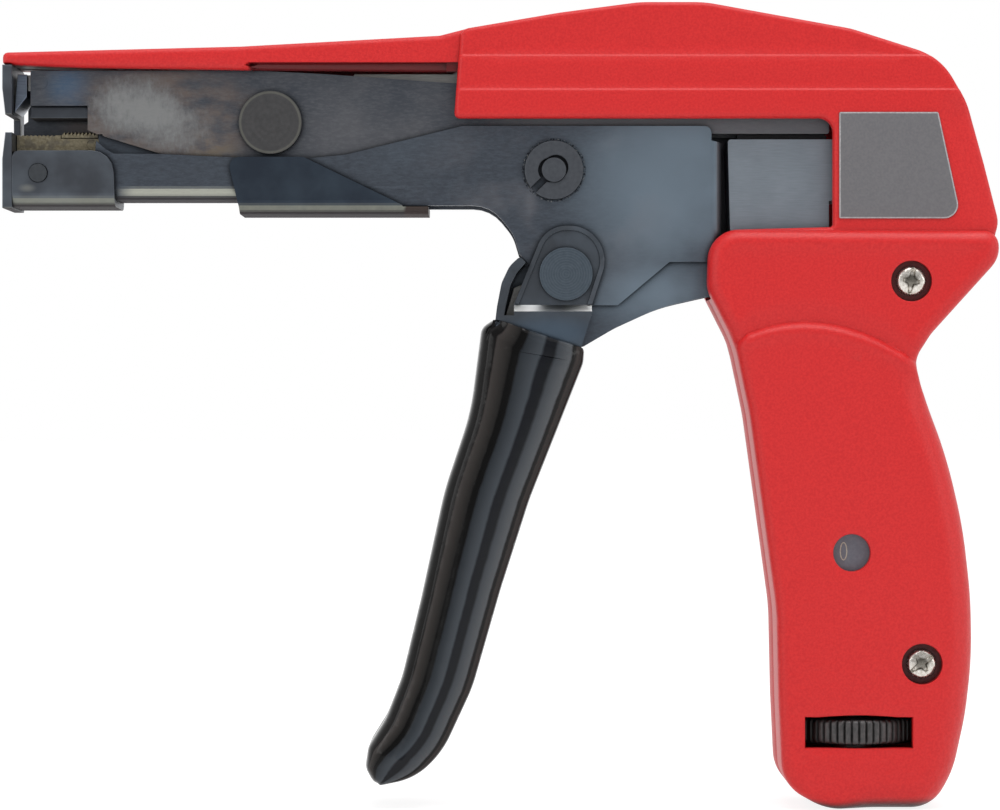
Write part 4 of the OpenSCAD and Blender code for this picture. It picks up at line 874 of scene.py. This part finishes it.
# Housing screws: steel, nickel plated, round headed, with a cross and a longer slot, sunk in their recesses
# and each left at its own angle.
SCREW_HEAD_R = 2.4
SCREW_TOP = 10.9
SHANK_R = 1.5
SHANK_SIDES = 24
CROSS_ARM = 1.45
SLOT_ARM = 2.15
nickel, place = started("nickel_plate")
grain = noise(place, 2.0, 3.0, 0.6)
tone = grain.between(0.3, 0.7).colour((0.50, 0.47, 0.42), (0.78, 0.75, 0.70))
# Painted shade: each head is darker in the middle, over its cross.
for centre in SCREWS:
    cross_shade = spot(place, centre, (1.3, 1.3), 0.6)
    tone = (cross_shade * 0.85).colour(tone, (0.12, 0.11, 0.09))
surfaced(place, Base_Color=tone, Metallic=0.9, Roughness=grain * 0.15 + 0.2, Normal=bumped(grain, 0.02))


def strips(rings, count):
    """The faces between rings of points that follow each other, each ring closed round."""
    return [(k * count + i, k * count + (i + 1) % count, (k + 1) * count + (i + 1) % count,
             (k + 1) * count + i) for k in range(rings) for i in range(count)]


for number, (centre, turn) in enumerate(zip(SCREWS, (math.radians(80), math.radians(35)))):
    spin = np.array([(math.cos(turn), math.sin(turn)), (-math.sin(turn), math.cos(turn))])
    cross = [(s * x, t * z) for s, t, order in ((1, 1, 1), (-1, 1, -1), (-1, -1, 1), (1, -1, -1))
             for x, z in ((CROSS_ARM, 0.3), (0.55, 0.55), (0.3, CROSS_ARM))[::order]]
    slot = [(math.copysign(SLOT_ARM, x) if abs(x) == CROSS_ARM else x, z) for x, z in cross]
    rim, bottom = np.array(slot) @ spin + centre, np.array(cross) * 0.72 @ spin + centre
    head = circle(centre, SCREW_HEAD_R, 40)

    def head_height(p):
        r = np.hypot(*(p - centre).T) / SCREW_HEAD_R
        dome = SCREW_TOP - 0.55 * r ** 2 - 0.35 * smooth((r - 0.9) / 0.1)
        return dome - 0.6 * smooth(depth(p, rim) / 0.2)

    screw = relief(
        "screw_head_%d" % number, -1, [head, circle(centre, 2.0, 40), circle(centre, 1.7, 40), rim, bottom],
        [], 0.35, lambda p: depth(p, head) > 0, lambda p: np.full(len(p), RECESS_FLOOR),
        lambda p: np.zeros(len(p)), head_height)
    ribs = [(SHANK_R - 0.25 * (k % 2), 0.35 * k - RECESS_FLOOR) for k in range(49)]
    rings = [(0.0, ribs[0][1]), *ribs, (0.0, ribs[-1][1])]
    shank = placed(
        "screw_shank_%d" % number,
        [(x / 1000, y / 1000, z / 1000) for r, y in rings for x, z in circle(centre, r, SHANK_SIDES)],
        strips(len(rings) - 1, SHANK_SIDES))
    for piece in (screw, shank):
        piece.data.materials.append(nickel)
        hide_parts("housing_screws")
        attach(piece, "tool_body")

# Scale: a blue-grey plate on the tension nut, seen through the round window, with a narrow nought
# engraved in it and filled with pale paint.
SCALE_FACE = 9.2
scale = flecked("blue_grey_scale", (0.135, 0.145, 0.175), (0.165, 0.175, 0.205), 2.0, 0.4, 0.3)
dressed(scale, "scale_plate", edge=0)
filled = flecked("pale_nought_paint", (0.36, 0.33, 0.25), (0.58, 0.54, 0.44), 5.0, 0.4)
middle = (WINDOW[0] - 1.2, WINDOW[1] + 0.2)
ovals = [(circle((0, 0), 1, 40) * size + middle) for size in ((0.62, 1.5), (0.44, 1.32))]
nought = relief("nought", -1, ovals, [], 3.0, lambda p: (depth(p, ovals[0]) > 0) & (depth(p, ovals[1]) < 0),
                lambda p: np.full(len(p), SCALE_FACE - 0.02), lambda p: np.zeros(len(p)),
                lambda p: np.full(len(p), SCALE_FACE + 0.015))
nought.data.materials.append(filled)
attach(nought, "tension_nut")

# Setting wheel: black moulded wheel fixed on the threaded rod, with close ribs round its rim. The thumb
# turns it through the slot at the grip's foot.
RIBS = 54
RIB_STEPS = 10
RIB_DEPTH = 0.4
WHEEL_R = 10.4
WHEEL_T = 4.2
WHEEL_BORE = 2.52
ROD_Y = -1.0
below = [(WHEEL_BORE, -1), (WHEEL_R - 0.8, -1), (WHEEL_R - 0.3, -0.9), (WHEEL_R - 0.1, -0.78),
         (WHEEL_R, -0.68)]
profile = below + [(r, -level) for r, level in reversed(below)]
count = RIBS * RIB_STEPS
share = np.arange(count) % RIB_STEPS / RIB_STEPS
cut = RIB_DEPTH * np.clip(np.abs(share - 0.5) * 5 - 1.4, 0, 1)
rib_foot = WHEEL_R - 0.6
vertices = []
for r, level in profile:
    radius = r - cut * max(r - rib_foot, 0) / (WHEEL_R - rib_foot)
    vertices += [((WHEEL[0] + radius[i] * math.sin(2 * math.pi * i / count)) / 1000,
                  (ROD_Y - radius[i] * math.cos(2 * math.pi * i / count)) / 1000,
                  (WHEEL[1] + level * WHEEL_T / 2) / 1000) for i in range(count)]
total = len(vertices)
wheel = placed("ribbed_wheel", vertices, [
    tuple(corner % total for corner in face) for face in strips(len(profile), count)], 30)
moulded, place = started("black_moulded_wheel")
dust_and_sheen = noise(place, 1.4, 3.0, 0.6)
tone = dust_and_sheen.between(0.35, 0.7).colour((0.034, 0.032, 0.032), (0.066, 0.061, 0.061))
# Painted shade: the rim goes black where it runs deep into the slot.
tone = crevice_shaded(tone, place, 5.0, 0.4, 0.72, (0.002, 0.002, 0.002))
surfaced(place, Base_Color=tone, Roughness=dust_and_sheen * 0.2 + 0.35, Normal=bumped(dust_and_sheen, 0.02))
wheel.data.materials.append(moulded)
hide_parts("tension_wheel")
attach(wheel, "setting_wheel")

# Tension spring: round wire coiled round the rod between the nut and the seat, its ends wound close.
WIRE_R = 0.8
COIL_R = 5.0
WIRE_SIDES = 12
CURLS = 10
SPRING_LOW = 44.1
SPRING_HIGH = 77.969
turns = np.linspace(0, CURLS, CURLS * 36 + 1)
climb = np.clip((turns - 1) / (CURLS - 2), 0, 1) * 0.8 + turns / CURLS * 0.2
lift = SPRING_LOW + WIRE_R + climb * (SPRING_HIGH - SPRING_LOW - 2 * WIRE_R)
vertices = []
for turn, height in zip(turns * 2 * math.pi, lift):
    for out, up in circle((0, 0), WIRE_R, WIRE_SIDES):
        vertices.append(((WHEEL[0] + (COIL_R + out) * math.cos(turn)) / 1000,
                         (ROD_Y + (COIL_R + out) * math.sin(turn)) / 1000, (height + up) / 1000))
first = tuple(range(WIRE_SIDES))
last = tuple(len(vertices) - 1 - i for i in first)
spring = placed("coiled_spring", vertices, [
    face[::-1] for face in strips(len(turns) - 1, WIRE_SIDES)] + [first, last], 50)
oiled, place = started("oiled_spring_wire")
grain = noise(place, 1.5, 3.0, 0.6)
tone = grain.between(0.3, 0.7).colour((0.12, 0.12, 0.12), (0.26, 0.26, 0.25))
surfaced(place, Base_Color=tone, Metallic=0.85, Roughness=grain * 0.2 + 0.28, Normal=bumped(grain, 0.01))
spring.data.materials.append(oiled)
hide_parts("tension_spring")
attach(spring, "tool_body")
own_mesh(spring)
